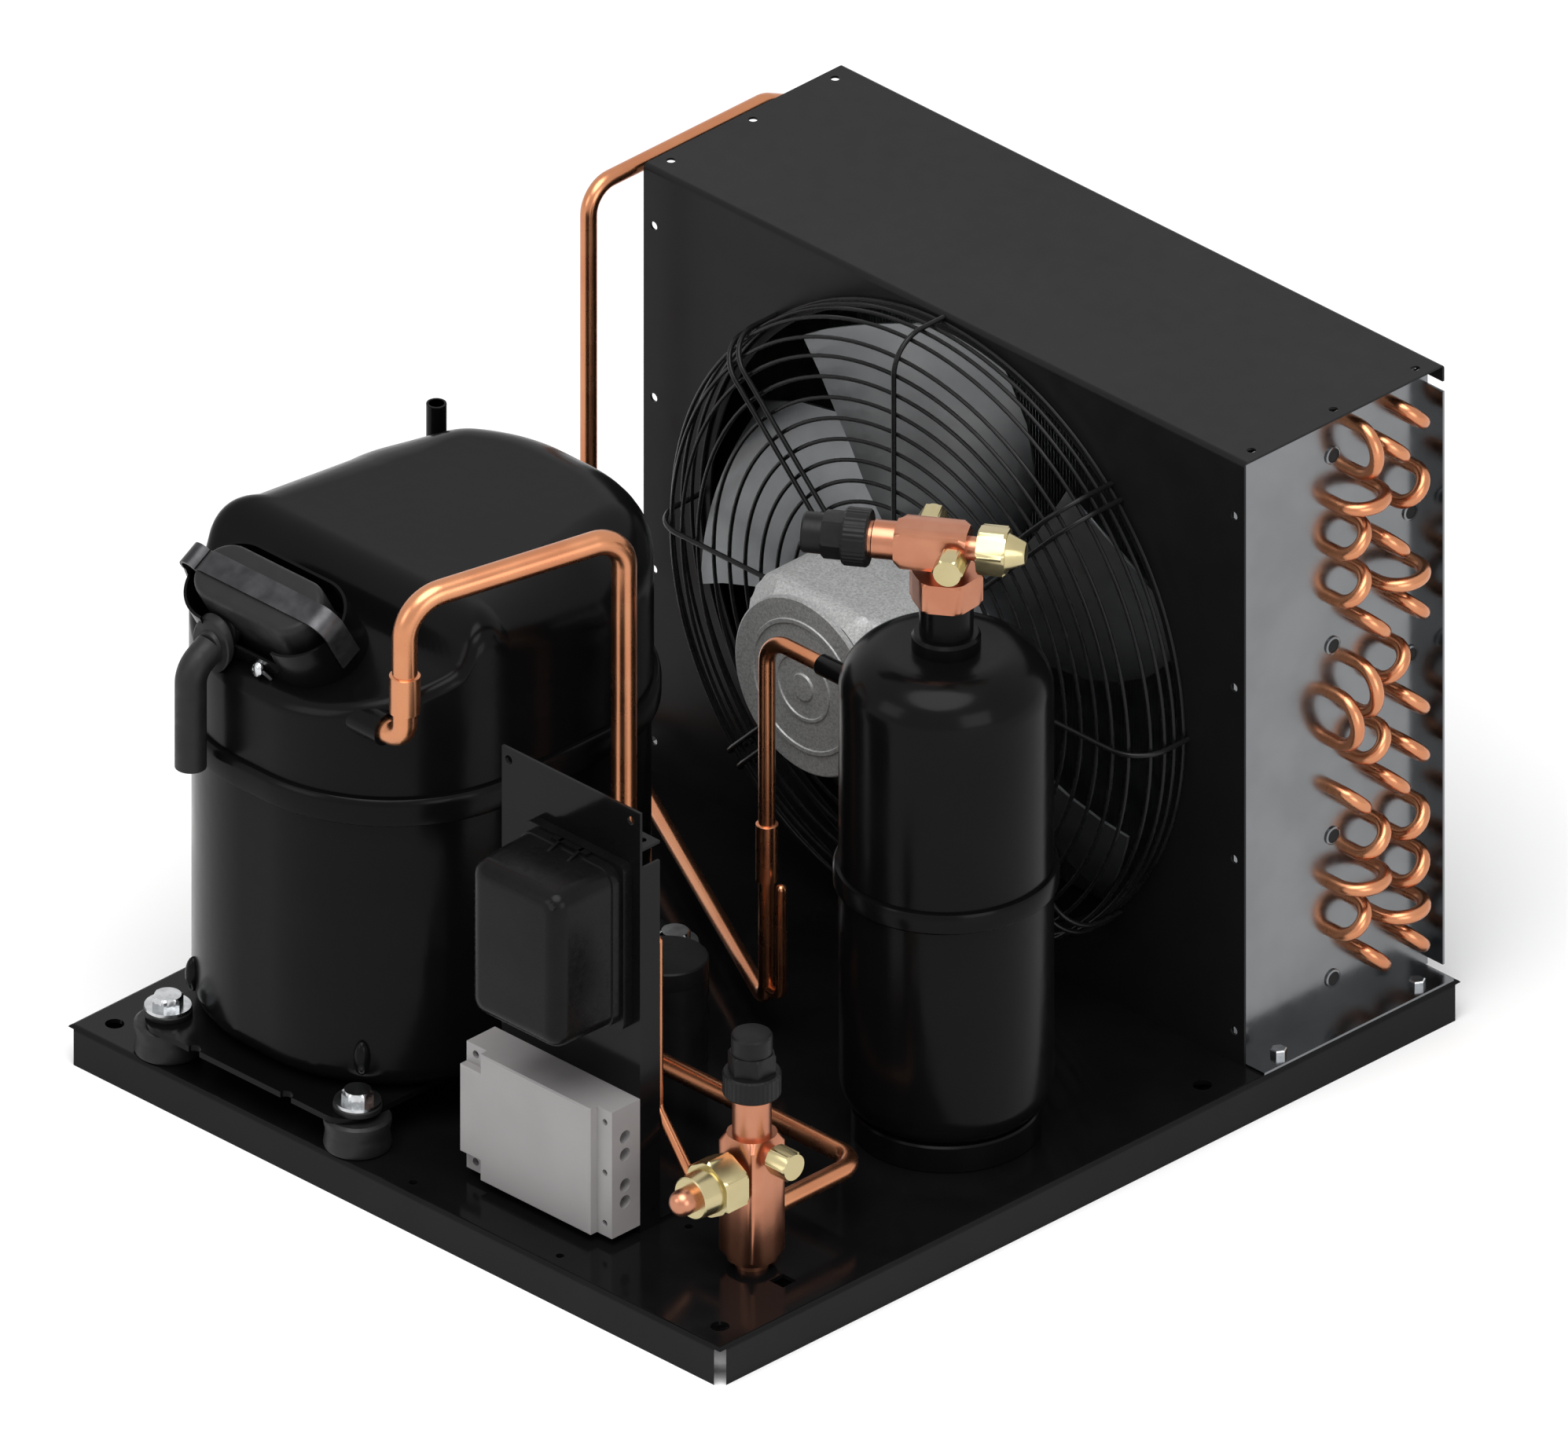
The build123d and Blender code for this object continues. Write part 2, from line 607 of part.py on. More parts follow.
def fan_blades():
    """Five swept blades, each lofted through sections whose pitch eases towards the tip."""
    sections = []
    for radius, chord, lead, pitch in BLADE_SECTIONS:
        t, p = radians(lead), radians(pitch)
        outward = Vector(cos(t), sin(t), 0)
        along = Vector(-sin(t) * cos(p), cos(t) * cos(p), sin(p))
        place = Plane(origin=outward * radius, x_dir=along, z_dir=outward)
        sections.append(place * Rectangle(chord, BLADE_T))
    blade = loft(sections, ruled=True)
    band = Cylinder(BLADE_TIP_R, 80, align=CENTRED) - Cylinder(HUB_D / 2, 90, align=CENTRED)
    blade = blade & band
    blades = []
    for step in range(BLADES):
        turned = Rot(0, 0, BLADE_PHASE + 360.0 / BLADES * step) * blade
        blades.append(Pos(HOUSING_CX, BLADE_MIDDLE_Y, FAN_Z) * Rot(90, 0, 0) * turned)
    return blades


# ---------------------------------------------------------------- compressor
def shell_plan(grow=0.0):
    """Plan of the hermetic shell: a long oval, grown evenly for the rim and the upper half."""
    length_x = 2 * (SHELL_HALF_X + grow)
    length_y = 2 * (SHELL_HALF_Y + grow)
    return Pos(COMP_X, COMP_Y) * RectangleRounded(length_x, length_y, SHELL_CORNER_R + grow)


def lower_shell():
    shell = extrude(Pos(0, 0, SHELL_Z) * shell_plan(), SEAM_Z - SHELL_Z)
    return chamfer(shell.faces().sort_by(Axis.Z)[0].edges(), SHELL_BOTTOM_EDGE)


def weld_rim():
    rim = extrude(Pos(0, 0, SEAM_Z) * shell_plan(SEAM_GROW), SEAM_H)
    return chamfer(rim.faces().sort_by(Axis.Z)[-1].edges(), 1.5)


def slope_plane(down_slope=0.0, x=COMP_X):
    """Plane that the terminal housing stands on: X level, Z square to its base."""
    a = radians(TERMINAL_TILT)
    origin = (x, RIDGE_Y - down_slope * cos(a), RIDGE_Z - down_slope * sin(a))
    return Plane(origin=origin, x_dir=(1, 0, 0), z_dir=(0, -sin(a), cos(a)))


def recess_cutter():
    """What the press leaves out above the terminals: round ridge, steep wall, sloped floor."""
    middle_y = slope_plane(TERMINAL_DOWN_SLOPE).origin.Y
    fall = tan(radians(FLOOR_TILT))
    points = []
    for step in range(5):
        t = radians(WALL_TILT) * step / 4
        points.append((RIDGE_Y - RIDGE_R * sin(t), SHELL_TOP_Z - RIDGE_R * (1 - cos(t))))
    wall_y, wall_z = points[-1]
    drop = wall_z - (FLOOR_Z + (wall_y - middle_y) * fall)
    run = drop / (sin(radians(WALL_TILT)) - fall * cos(radians(WALL_TILT)))
    points.append((wall_y - run * cos(radians(WALL_TILT)), wall_z - run * sin(radians(WALL_TILT))))
    front_y = COMP_Y - SHELL_HALF_Y - 20.0
    points.append((front_y, FLOOR_Z + (front_y - middle_y) * fall))
    points.append((front_y, SHELL_TOP_Z + 5.0))
    points.append((RIDGE_Y, SHELL_TOP_Z + 5.0))
    profile = Plane.YZ * make_face(Polyline(*points, close=True))
    return Pos(COMP_X, 0, 0) * extrude(profile, 2 * SHELL_HALF_X, both=True)


def upper_shell():
    """Upper half with rounded shoulders and the full-width recess that carries the terminals."""
    base_z = SEAM_Z + SEAM_H
    shell = extrude(Pos(0, 0, base_z) * shell_plan(UPPER_SHELL_GROW), SHELL_TOP_Z - base_z)
    shell = fillet(shell.faces().sort_by(Axis.Z)[-1].edges(), SHELL_TOP_R)
    return shell - recess_cutter()


def foot_places():
    places = []
    for side_x in (-1, 1):
        for side_y in (-1, 1):
            places.append((COMP_X + side_x * FOOT_SPACING_X / 2, COMP_Y + side_y * FOOT_SPACING_Y / 2))
    return places


def foot_plate():
    """Flat plate under the shell, notched at the front and bored for the four grommets."""
    length_x = FOOT_SPACING_X + 15.0
    length_y = FOOT_SPACING_Y + 30.0
    plan = Pos(COMP_X, COMP_Y) * RectangleRounded(length_x, length_y, 13.0)
    plate = extrude(Pos(0, 0, PLATE_Z) * plan, FOOT_PLATE_T)
    front = COMP_Y - length_y / 2
    for side in (-1, 1):
        plate -= post(COMP_X + side * 30.0, front, PLATE_Z - 1, SHELL_Z + 1, 7.0)
    for x, y in foot_places():
        plate -= post(x, y, PLATE_Z - 1, SHELL_Z + 1, GROMMET_NECK_D)
    return plate


def grommet(x, y):
    """Lower rubber mount with the neck that locates in the foot plate."""
    mount = turned_post(x, y, DECK_Z, PLATE_Z, GROMMET_D, 2.0, 2.0, 1)
    mount += post(x, y, PLATE_Z - 1, SHELL_Z, GROMMET_NECK_D)
    return mount - post(x, y, DECK_Z - 1, SHELL_Z + 1, BOLT_D)


def grommet_cap(x, y):
    cap = post(x, y, SHELL_Z, SHELL_Z + GROMMET_CAP_H, GROMMET_CAP_D)
    return cap - post(x, y, SHELL_Z - 1, SHELL_Z + 9, BOLT_D)


def foot_washer(x, y):
    z0 = SHELL_Z + GROMMET_CAP_H
    return post(x, y, z0, z0 + WASHER_T, WASHER_D) - post(x, y, z0 - 1, z0 + 9, BOLT_D)


def foot_bolt(x, y, turn):
    z0 = SHELL_Z + GROMMET_CAP_H + WASHER_T
    head = hex_prism(Plane(origin=(x, y, z0)), BOLT_AF, BOLT_HEAD_H, turn)
    return head + post(x, y, DECK_Z, z0, BOLT_D)


# ---------------------------------------------------------------- terminal housing
FENCE_PLANE = slope_plane(TERMINAL_DOWN_SLOPE, TERMINAL_X)


def terminal_fence(shell):
    """Sheet ring fitted to the recess floor round the terminals, lower along its front."""
    outer = SlotOverall(FENCE_L, FENCE_W)
    inner = SlotOverall(FENCE_L - 2 * FENCE_T, FENCE_W - 2 * FENCE_T)
    ring = Pos(0, 0, -FENCE_SINK) * extrude(outer - inner, FENCE_H + FENCE_SINK)
    front = Pos(0, -FENCE_W / 2, FENCE_H - FENCE_FRONT_DROP)
    ring -= front * Box(FENCE_L - FENCE_W, FENCE_W / 2, FENCE_H, align=STANDING)
    return FENCE_PLANE * ring - shell


def terminal_cover(shell):
    """Rubber plug over the terminals, left bare."""
    plug = extrude(RectangleRounded(COVER_L, COVER_W, COVER_W * 0.46), COVER_TOP_H + FENCE_SINK)
    plug = chamfer(plug.faces().sort_by(Axis.Z)[-1].edges(), 1.5)
    return FENCE_PLANE * Pos(0, 0, -FENCE_SINK) * plug - shell


def cover_strap():
    """Spring strap over the cover, its legs running down the ends of the fence."""
    leg_x = FENCE_L / 2 + RUNNING_GAP
    outer = Box(2 * (leg_x + STRAP_T), STRAP_W, COVER_TOP_H + STRAP_T - 8.0, align=STANDING)
    shoulders = outer.edges().filter_by(Axis.Y).sort_by(Axis.Z)[-2:]
    outer = fillet(shoulders, 9.0 + STRAP_T)
    inner = Pos(0, 0, -1) * Box(2 * leg_x, STRAP_W + 2, COVER_TOP_H - 8.0 + 1, align=STANDING)
    shoulders = inner.edges().filter_by(Axis.Y).sort_by(Axis.Z)[-2:]
    inner = fillet(shoulders, 9.0)
    return FENCE_PLANE * Pos(0, 0, 8.0) * (outer - inner)


DOWN_SLOPE = Vector(0, -cos(radians(TERMINAL_TILT)), -sin(radians(TERMINAL_TILT)))
GLAND = Vector(GLAND_X, GLAND_Y, GLAND_Z)
GLAND_T = 5.0


def cable_gland(shell):
    """Flange disc on the lower side of the fence, cut flat where it rests on the recess floor."""
    place = Plane(origin=GLAND - DOWN_SLOPE * (GLAND_T / 2), z_dir=DOWN_SLOPE)
    return place * Cylinder(GLAND_D / 2, GLAND_T, align=STANDING) - shell


def conduit_elbow():
    """Stub of conduit: out of the gland down the slope, then straight down."""
    start = GLAND + DOWN_SLOPE * (GLAND_T / 2)
    corner = GLAND + DOWN_SLOPE * CONDUIT_REACH
    end = Vector(corner.X, corner.Y, CONDUIT_BOTTOM_Z)
    return bent_rod([start, corner, end], CONDUIT_D, 12.0)


def process_stub(shell):
    """Open process tube, bent up out of the shell's rear left corner."""
    centre = Vector(COMP_X - SHELL_HALF_X + SHELL_CORNER_R, COMP_Y + SHELL_HALF_Y - SHELL_CORNER_R, 0)
    corner = Vector(-179.1, -35.5, 0)
    outward = (corner - centre).normalized()
    start = corner - outward * 14.0
    low, high = Vector(0, 0, 229.5), Vector(0, 0, 281.7)
    stub = bent_tube([start + low, corner + low, corner + high], 9.6, 6.0)
    stub -= post(corner.X, corner.Y, 281.7 - 18, 282.7, 7.4)
    return stub - shell


# ---------------------------------------------------------------- receiver
def receiver_tank():
    """Upright tank with rounded ends and the raised weld seam left off."""
    place = (RECEIVER_X, RECEIVER_Y, RECEIVER_BOTTOM_Z, RECEIVER_TOP_Z)
    return turned_post(*place, RECEIVER_D, RECEIVER_BOTTOM_R, RECEIVER_TOP_R)


def receiver_seam():
    z0, z1 = RECEIVER_SEAM_Z, RECEIVER_SEAM_Z + RECEIVER_SEAM_H
    band = post(RECEIVER_X, RECEIVER_Y, z0, z1, RECEIVER_D + 2 * RECEIVER_SEAM_GROW)
    return band - post(RECEIVER_X, RECEIVER_Y, z0 - 1, z1 + 1, RECEIVER_D)


def receiver_foot(tank):
    """Rolled foot ring, its upper edge fitted to the tank's rounded bottom."""
    ring = post(RECEIVER_X, RECEIVER_Y, DECK_Z, DECK_Z + RECEIVER_FOOT_H + 4, RECEIVER_FOOT_D)
    bore = post(RECEIVER_X, RECEIVER_Y, DECK_Z - 1, 60, RECEIVER_FOOT_D - 2 * RECEIVER_SHEET)
    return ring - bore - tank


def receiver_neck():
    collar = post(RECEIVER_X, RECEIVER_Y, RECEIVER_TOP_Z, RECEIVER_TOP_Z + 8, NECK_D + 7)
    return collar + post(RECEIVER_X, RECEIVER_Y, RECEIVER_TOP_Z + 7, UNION_Z, NECK_D)


def receiver_inlet(tank):
    face_x = RECEIVER_X - RECEIVER_D / 2
    stub = rod((face_x + 6, RECEIVER_Y, LIQUID_Z), (face_x - INLET_L, RECEIVER_Y, LIQUID_Z), INLET_D)
    return stub - tank


def union_nut():
    return hex_prism(Plane(origin=(RECEIVER_X, RECEIVER_Y, UNION_Z)), UNION_AF, UNION_H, 35.0, 1.2)


# ---------------------------------------------------------------- valves
VALVE_PLANE = Plane(
    origin=(RECEIVER_X, RECEIVER_Y, VALVE_AXIS_Z),
    x_dir=(0, 0, 1),
    z_dir=(cos(radians(VALVE_TURN)), sin(radians(VALVE_TURN)), 0),
)
BLOCK_END = VALVE_BLOCK_SHIFT + VALVE_BLOCK_L / 2
BLOCK_START = VALVE_BLOCK_SHIFT - VALVE_BLOCK_L / 2
STEM_ROOT = Plane(origin=VALVE_PLANE.from_local_coords((0, 0, BLOCK_START)), z_dir=-VALVE_PLANE.z_dir)
SERVICE_ROOT = Plane(origin=(SERVICE_X, SERVICE_Y, SERVICE_TOP_Z))
SPINDLE_REACH = 20.0


def stem(root, visible):
    """Valve stem with the thread under the cap, bored for the spindle."""
    tube = Cylinder(STEM_D / 2, visible + STEM_THREAD, align=STANDING)
    tube -= Pos(0, 0, visible - 4) * Cylinder(SPINDLE_D / 2 + RUNNING_GAP, 30, align=STANDING)
    return root * tube


def stem_cap(root, visible):
    """Sealing cap: knurled skirt over the thread, hexagon, then a plain top."""
    cap = Cylinder(CAP_RING_D / 2, CAP_RING_H, align=STANDING)
    cap += hex_prism(Plane(origin=(0, 0, CAP_RING_H)), CAP_HEX_AF, CAP_HEX_H, 30.0)
    cap += Pos(0, 0, CAP_RING_H + CAP_HEX_H) * Cylinder(CAP_TOP_D / 2, CAP_TOP_H, align=STANDING)
    cap -= Cylinder(STEM_D / 2 + CAP_CLEARANCE, STEM_THREAD + 0.5, align=STANDING)
    cap -= Cylinder(SPINDLE_D / 2 + 1.0, SPINDLE_REACH + 1.5, align=STANDING)
    return root * Pos(0, 0, visible) * cap


def stem_spindle(root, visible):
    """Valve spindle with a square end, turned with a key once the cap is off."""
    length = SPINDLE_REACH + 3.0
    body = Cylinder(SPINDLE_D / 2, 14.0, align=STANDING)
    body += Pos(0, 0, 13.0) * Box(SPINDLE_SQUARE, SPINDLE_SQUARE, length - 13.0, align=STANDING)
    return root * Pos(0, 0, visible - 3) * body


def flare_nut(root, neck_d, neck_l, across_flats, nut_l, cone_d, cone_l, turn=0.0):
    """Union nut with its turned cone, on a short neck; returned as the neck and the nut."""
    neck = Cylinder(neck_d / 2, neck_l, align=STANDING)
    nut = hex_prism(Plane(origin=(0, 0, neck_l)), across_flats, nut_l, turn, 0.8)
    cone = Cone(across_flats / 2 - 2.0, cone_d / 2, cone_l, align=STANDING)
    nut += Pos(0, 0, neck_l + nut_l) * cone
    return root * neck, root * nut


def side_plug(root, gap=4.0):
    """Hexagon plug on a short round neck."""
    neck = root * Cylinder(PLUG_AF / 2 - 1.2, gap, align=STANDING)
    head = hex_prism(Plane(origin=(0, 0, gap)), PLUG_AF, PLUG_L, 30.0, 0.6)
    return neck, root * head


def receiver_valve_body():
    block = Pos(0, 0, BLOCK_START) * Box(VALVE_BLOCK, VALVE_BLOCK, VALVE_BLOCK_L, align=STANDING)
    block = chamfer(block.edges().filter_by(Axis.Z), 1.2)
    union_top = UNION_Z + UNION_H
    foot = post(RECEIVER_X, RECEIVER_Y, union_top, VALVE_AXIS_Z, VALVE_FOOT_D)
    return VALVE_PLANE * block + foot + stem(STEM_ROOT, STEM_VISIBLE)


def valve_side(offset, side):
    """Plane on a side face of the receiver valve's block, at a distance along its axis."""
    across = VALVE_PLANE.y_dir * side
    origin = VALVE_PLANE.from_local_coords((0, side * VALVE_BLOCK / 2, offset))
    return Plane(origin=origin, z_dir=across)


def service_valve_body():
    """Square bar with broken end edges, foot and stem."""
    height = SERVICE_TOP_Z - SERVICE_BOTTOM_Z
    bar = Box(SERVICE_W, SERVICE_W, height, align=STANDING)
    ends = bar.faces().sort_by(Axis.Z)
    bar = chamfer(ends[0].edges() + ends[-1].edges(), 1.2)
    body = Pos(SERVICE_X, SERVICE_Y, SERVICE_BOTTOM_Z) * bar
    body += post(SERVICE_X, SERVICE_Y, DECK_Z, SERVICE_BOTTOM_Z, SERVICE_FOOT_D)
    return body + stem(SERVICE_ROOT, SERVICE_STEM_VISIBLE)


# ---------------------------------------------------------------- copper lines
def sleeve(start, end, pipe_d):
    """Brazed coupling round a straight run."""
    return rod(start, end, pipe_d + 2 * COUPLING_WALL) - rod(start, end, pipe_d)


SUCTION_PORT_FACE_X = -33.5
SUCTION_FOOT_X = SUCTION_X + 18.0


def suction_line():
    """From the lower line, up beside the compressor, over the top and down to its port."""
    points = [
        (SUCTION_FOOT_X, SUCTION_Y, VALVE_LINE_Z),
        (SUCTION_X, SUCTION_Y, VALVE_LINE_Z),
        (SUCTION_X, SUCTION_Y, SUCTION_TOP_Z),
        (SUCTION_PORT_X, SUCTION_PORT_Y, SUCTION_TOP_Z - 6.6),
        (SUCTION_PORT_X, SUCTION_PORT_Y, SUCTION_PORT_Z),
        (SUCTION_PORT_FACE_X, SUCTION_PORT_Y, SUCTION_PORT_Z),
    ]
    return bent_tube(points, SUCTION_D, [14.0, 15.0, 20.0, 9.0])


def suction_socket(shell):
    inner = (SUCTION_PORT_FACE_X - 25.0, SUCTION_PORT_Y, SUCTION_PORT_Z)
    outer = (SUCTION_PORT_FACE_X, SUCTION_PORT_Y, SUCTION_PORT_Z)
    return rod(inner, outer, SOCKET_D) - shell


def suction_lower_line():
    """From the suction line's foot along the deck to the back of the service valve."""
    points = [
        (SUCTION_FOOT_X, SUCTION_Y, VALVE_LINE_Z),
        (SERVICE_X, SUCTION_Y, VALVE_LINE_Z),
        (SERVICE_X, SERVICE_Y + SERVICE_W / 2, VALVE_LINE_Z),
    ]
    return bent_tube(points, VALVE_LINE_D, 13.0)


def liquid_line():
    """From the coil's outlet, behind the compressor, then up and into the receiver."""
    outlet_y, outlet_z = tube_place(*OUTLET_PLACE)
    run_x = LIQUID_X - LIQUID_SIDE_X
    points = [
        (RECEIVER_X - RECEIVER_D / 2 - INLET_L, RECEIVER_Y, LIQUID_Z),
        (LIQUID_X, RECEIVER_Y, LIQUID_Z),
        (LIQUID_X, RECEIVER_Y, LIQUID_RUN_Z),
        (LIQUID_SIDE_X, RECEIVER_Y + run_x * 0.5514, LIQUID_RUN_Z),
        (LIQUID_SIDE_X, outlet_y, outlet_z),
        (LEFT_PLATE_X, outlet_y, outlet_z),
    ]
    return bent_tube(points, LINE_D, [13.0, 11.0, 14.0, 10.0])


def discharge_line(shell):
    """From the back of the compressor, up beside the shroud and into the top of the coil."""
    inlet_y, inlet_z = tube_place(*INLET_PLACE)
    points = [
        (COMP_X - 46.5, COMP_Y + SHELL_HALF_Y - 30.0, 110.0),
        (COMP_X - 46.5, 35.0, 110.0),
        (DISCHARGE_X, DISCHARGE_Y, 110.0),
        (DISCHARGE_X, DISCHARGE_Y, DISCHARGE_TOP_Z),
        (DISCHARGE_X, inlet_y - 17.6, DISCHARGE_TOP_Z),
        (DISCHARGE_X, inlet_y, inlet_z),
        (LEFT_PLATE_X, inlet_y, inlet_z),
    ]
    return bent_tube(points, LINE_D, [14.0, 14.0, 14.0, 14.0, 7.0]) - shell


def service_stub():
    """Thin capped tube: into the side of the service valve, rising behind the bracket."""
    points = [
        (105.7, SERVICE_Y, 170.3),
        (105.7, SERVICE_Y, 79.0),
        (128.5, SERVICE_Y, 49.5),
        (SERVICE_X - SERVICE_W / 2, SERVICE_Y, 49.5),
    ]
    return bent_tube(points, STUB_D, 8.0)


def liquid_stub(line):
    """Thin capped tube rising from the foot of the liquid line."""
    points = [(35.5, -24.5, 107.4), (35.5, -24.5, 47.0), (LIQUID_X, RECEIVER_Y, 47.0)]
    return bent_tube(points, STUB_D, 6.0) - line


# ---------------------------------------------------------------- electrical parts
def bracket():
    """Upright plate with a foot flange and a stiffening flange on its right edge."""
    back_y = BRACKET_Y + BRACKET_SHEET
    plate = slab(BRACKET_X0, BRACKET_X1, BRACKET_Y, back_y, DECK_Z, BRACKET_TOP_Z)
    for x in (BRACKET_X0 + 4.5, BRACKET_X1 - 6.0):
        plate -= Pos(x, BRACKET_Y, BRACKET_TOP_Z - 6.0) * Rot(90, 0, 0) * Cylinder(2.25, 10)
    flange_y = BRACKET_Y + BRACKET_FLANGE
    flange_x = BRACKET_X1 - BRACKET_SHEET
    plate += slab(flange_x, BRACKET_X1, BRACKET_Y, flange_y, DECK_Z, BRACKET_FLANGE_TOP_Z)
    plate += slab(BRACKET_X0, flange_x, BRACKET_Y, BRACKET_Y + 27.0, DECK_Z, DECK_Z + BRACKET_SHEET)
    ear_z = BRACKET_FLANGE_TOP_Z + 9.0
    plate += slab(BRACKET_X1 - 16.0, BRACKET_X1, BRACKET_Y, flange_y, ear_z, ear_z + BRACKET_SHEET)
    plate -= post(BRACKET_X1 - 6.0, BRACKET_Y + 7.5, ear_z - 1, ear_z + 3, 4.0)
    return plate


def bracket_screw():
    z0 = DECK_Z + BRACKET_SHEET
    head = turned_post(97.0, -174.2, z0, z0 + 3.0, 7.5, 0.0, 1.4, 1)
    return head - slab(94.5, 99.5, -174.6, -173.8, z0 + 2.0, z0 + 4)


def relay_base():
    y0 = BRACKET_Y - RELAY_BASE_DEPTH
    x0, x1 = RELAY_X0 - RELAY_RIM, RELAY_X1 + RELAY_RIM
    base = slab(x0, x1, y0, BRACKET_Y, RELAY_Z0 - RELAY_RIM, RELAY_Z1 + RELAY_RIM)
    return fillet(base.edges().filter_by(Axis.Y), 4.0)


def relay_lid():
    """Snap-on lid with round edges and a ribbed latch on top."""
    y1 = BRACKET_Y - RELAY_BASE_DEPTH
    y0 = BRACKET_Y - RELAY_DEPTH
    lid = slab(RELAY_X0, RELAY_X1, y0, y1, RELAY_Z0, RELAY_Z1)
    lid = fillet(lid.edges().filter_by(Axis.Y), 4.5)
    lid = chamfer(lid.faces().sort_by(Axis.Y)[0].edges(), 2.0)
    middle = (RELAY_X0 + RELAY_X1) / 2
    for side in (-1, 1):
        x = middle + side * 7.0
        lid += slab(x - 1.2, x + 1.2, y1 - 14.0, y1, RELAY_Z1 - 1, RELAY_Z1 + RELAY_RIM)
    return lid


def box_base():
    """Body of the terminal box with its cable holes and screw ears."""
    front = BOX_Y + BOX_COVER_T
    body = slab(BOX_X0, BOX_END_X, front, BRACKET_Y, BOX_Z0, BOX_Z1)
    middle = (BOX_Z0 + BOX_Z1) / 2
    body += slab(BOX_X0 - 9.5, BOX_X0, BRACKET_Y - 6.0, BRACKET_Y, middle - 14.0, middle + 14.0)
    for z in (middle - 7.5, middle + 7.5):
        body -= Pos(BOX_X0 - 5.0, BRACKET_Y, z) * Rot(90, 0, 0) * Cylinder(1.8, 20)
    for step in (-1, 0, 1):
        z = middle + step * (BOX_Z1 - BOX_Z0) * 0.4
        body -= Pos(BOX_END_X - 4.6, front, z) * Rot(90, 0, 0) * Cylinder(1.6, 8)
    for z in (75.9, 66.6, 50.3, 41.3):
        body -= Pos(BOX_END_X, BRACKET_Y - 9.8, z) * Rot(0, 90, 0) * Cylinder(3.4, 14)
    for side in (-1, 1):
        z = middle + side * (BOX_Z1 - BOX_Z0 - 10.0) / 2
        body -= Pos(BOX_X0 + 6.0, front, z) * Rot(90, 0, 0) * Cylinder(2.0, 8)
    return body


def box_cover():
    """Front cover, cut back at its left corners over the screw ears."""
    front = BOX_Y + BOX_COVER_T
    cover = slab(BOX_X0, BOX_X1, BOX_Y, front, BOX_Z0, BOX_Z1)
    cover -= slab(BOX_X0 - 1, BOX_X0 + 13.3, BOX_Y - 1, front + 1, BOX_Z0 - 1, BOX_Z0 + 10.5)
    cover -= slab(BOX_X0 - 1, BOX_X0 + 13.3, BOX_Y - 1, front + 1, BOX_Z1 - 10.5, BOX_Z1 + 1)
    return chamfer(cover.faces().sort_by(Axis.Y)[0].edges(), 0.8)


def capacitor_can():
    return post(CAPACITOR_X, CAPACITOR_Y, DECK_Z, DECK_Z + CAPACITOR_H - CAPACITOR_LID_H, CAPACITOR_D - 0.6)


def capacitor_lid():
    top = DECK_Z + CAPACITOR_H
    lid = post(CAPACITOR_X, CAPACITOR_Y, top - CAPACITOR_LID_H, top, CAPACITOR_D)
    return chamfer(lid.faces().sort_by(Axis.Z)[-1].edges(), 0.7)


def end_plate_screws():
    """Four screws through the foot flanges of the end plates."""
    screws = []
    for side in (-1, 1):
        x = HOUSING_CX + side * (END_PLATE_OFFSET + 12.0)
        z0 = DECK_Z + END_PLATE_SHEET
        for y in (132.4, 223.0):
            screws.append(hex_prism(Plane(origin=(x, y, z0)), 7.0, 3.2))
    return screws


# ---------------------------------------------------------------- write every piece
os.makedirs("parts", exist_ok=True)

save("base_plate", base_plate())
save("fan_shroud", fan_shroud())
save("end_plate_right", end_plate(1))
save("end_plate_left", end_plate(-1))
save("end_plate_screws", *end_plate_screws())
save("fin_pack", fin_pack())
save("return_bends_right", *[u_bend(1, RIGHT_BEND_LEG, a, b) for a, b in RIGHT_BENDS])
save("return_bends_left", *[u_bend(-1, LEFT_BEND_LEG, a, b) for a, b in left_bends()])

save("guard_rings", *guard_rings())
save("guard_spokes", *guard_spokes())
save("motor_housing", motor_housing())
save("motor_cover", motor_cover())
save("fan_shaft", fan_shaft())
save("fan_hub", fan_hub())
save("fan_blades", *fan_blades())

upper = upper_shell()
lower = lower_shell()
save("compressor_lower_shell", lower)
save("compressor_upper_shell", upper)
save("compressor_weld_rim", weld_rim())
save("compressor_foot_plate", foot_plate())
save("foot_grommets", *[grommet(x, y) for x, y in foot_places()], *[grommet_cap(x, y) for x, y in foot_places()])
save("foot_washers", *[foot_washer(x, y) for x, y in foot_places()])
save("foot_bolts", *[foot_bolt(x, y, 17.0 * i) for i, (x, y) in enumerate(foot_places())])
save("terminal_fence", terminal_fence(upper))
save("terminal_cover", terminal_cover(upper))
save("terminal_strap", cover_strap())
save("cable_gland", cable_gland(upper))
save("conduit_elbow", conduit_elbow())
save("process_stub", process_stub(upper))

tank = receiver_tank()
save("receiver_tank", tank)
save("receiver_seam", receiver_seam())
save("receiver_foot", receiver_foot(tank))
save("receiver_neck", receiver_neck())
save("receiver_inlet", receiver_inlet(tank))
save("receiver_union_nut", union_nut())
save("receiver_valve_body", receiver_valve_body())
save("receiver_valve_cap", stem_cap(STEM_ROOT, STEM_VISIBLE))
save("receiver_valve_spindle", stem_spindle(STEM_ROOT, STEM_VISIBLE))
block_face = Plane(origin=VALVE_PLANE.from_local_coords((0, 0, BLOCK_END)), z_dir=VALVE_PLANE.z_dir)
neck, nut = flare_nut(block_face, 11.5, 5.0, 21.0, 13.6, 11.0, 8.5, 20.0)
front_neck, front_plug = side_plug(valve_side(-10.8, -1))
back_neck, back_plug = side_plug(valve_side(5.5, 1))
save("receiver_flare_nut", nut)
necks = [neck, front_neck, back_neck]
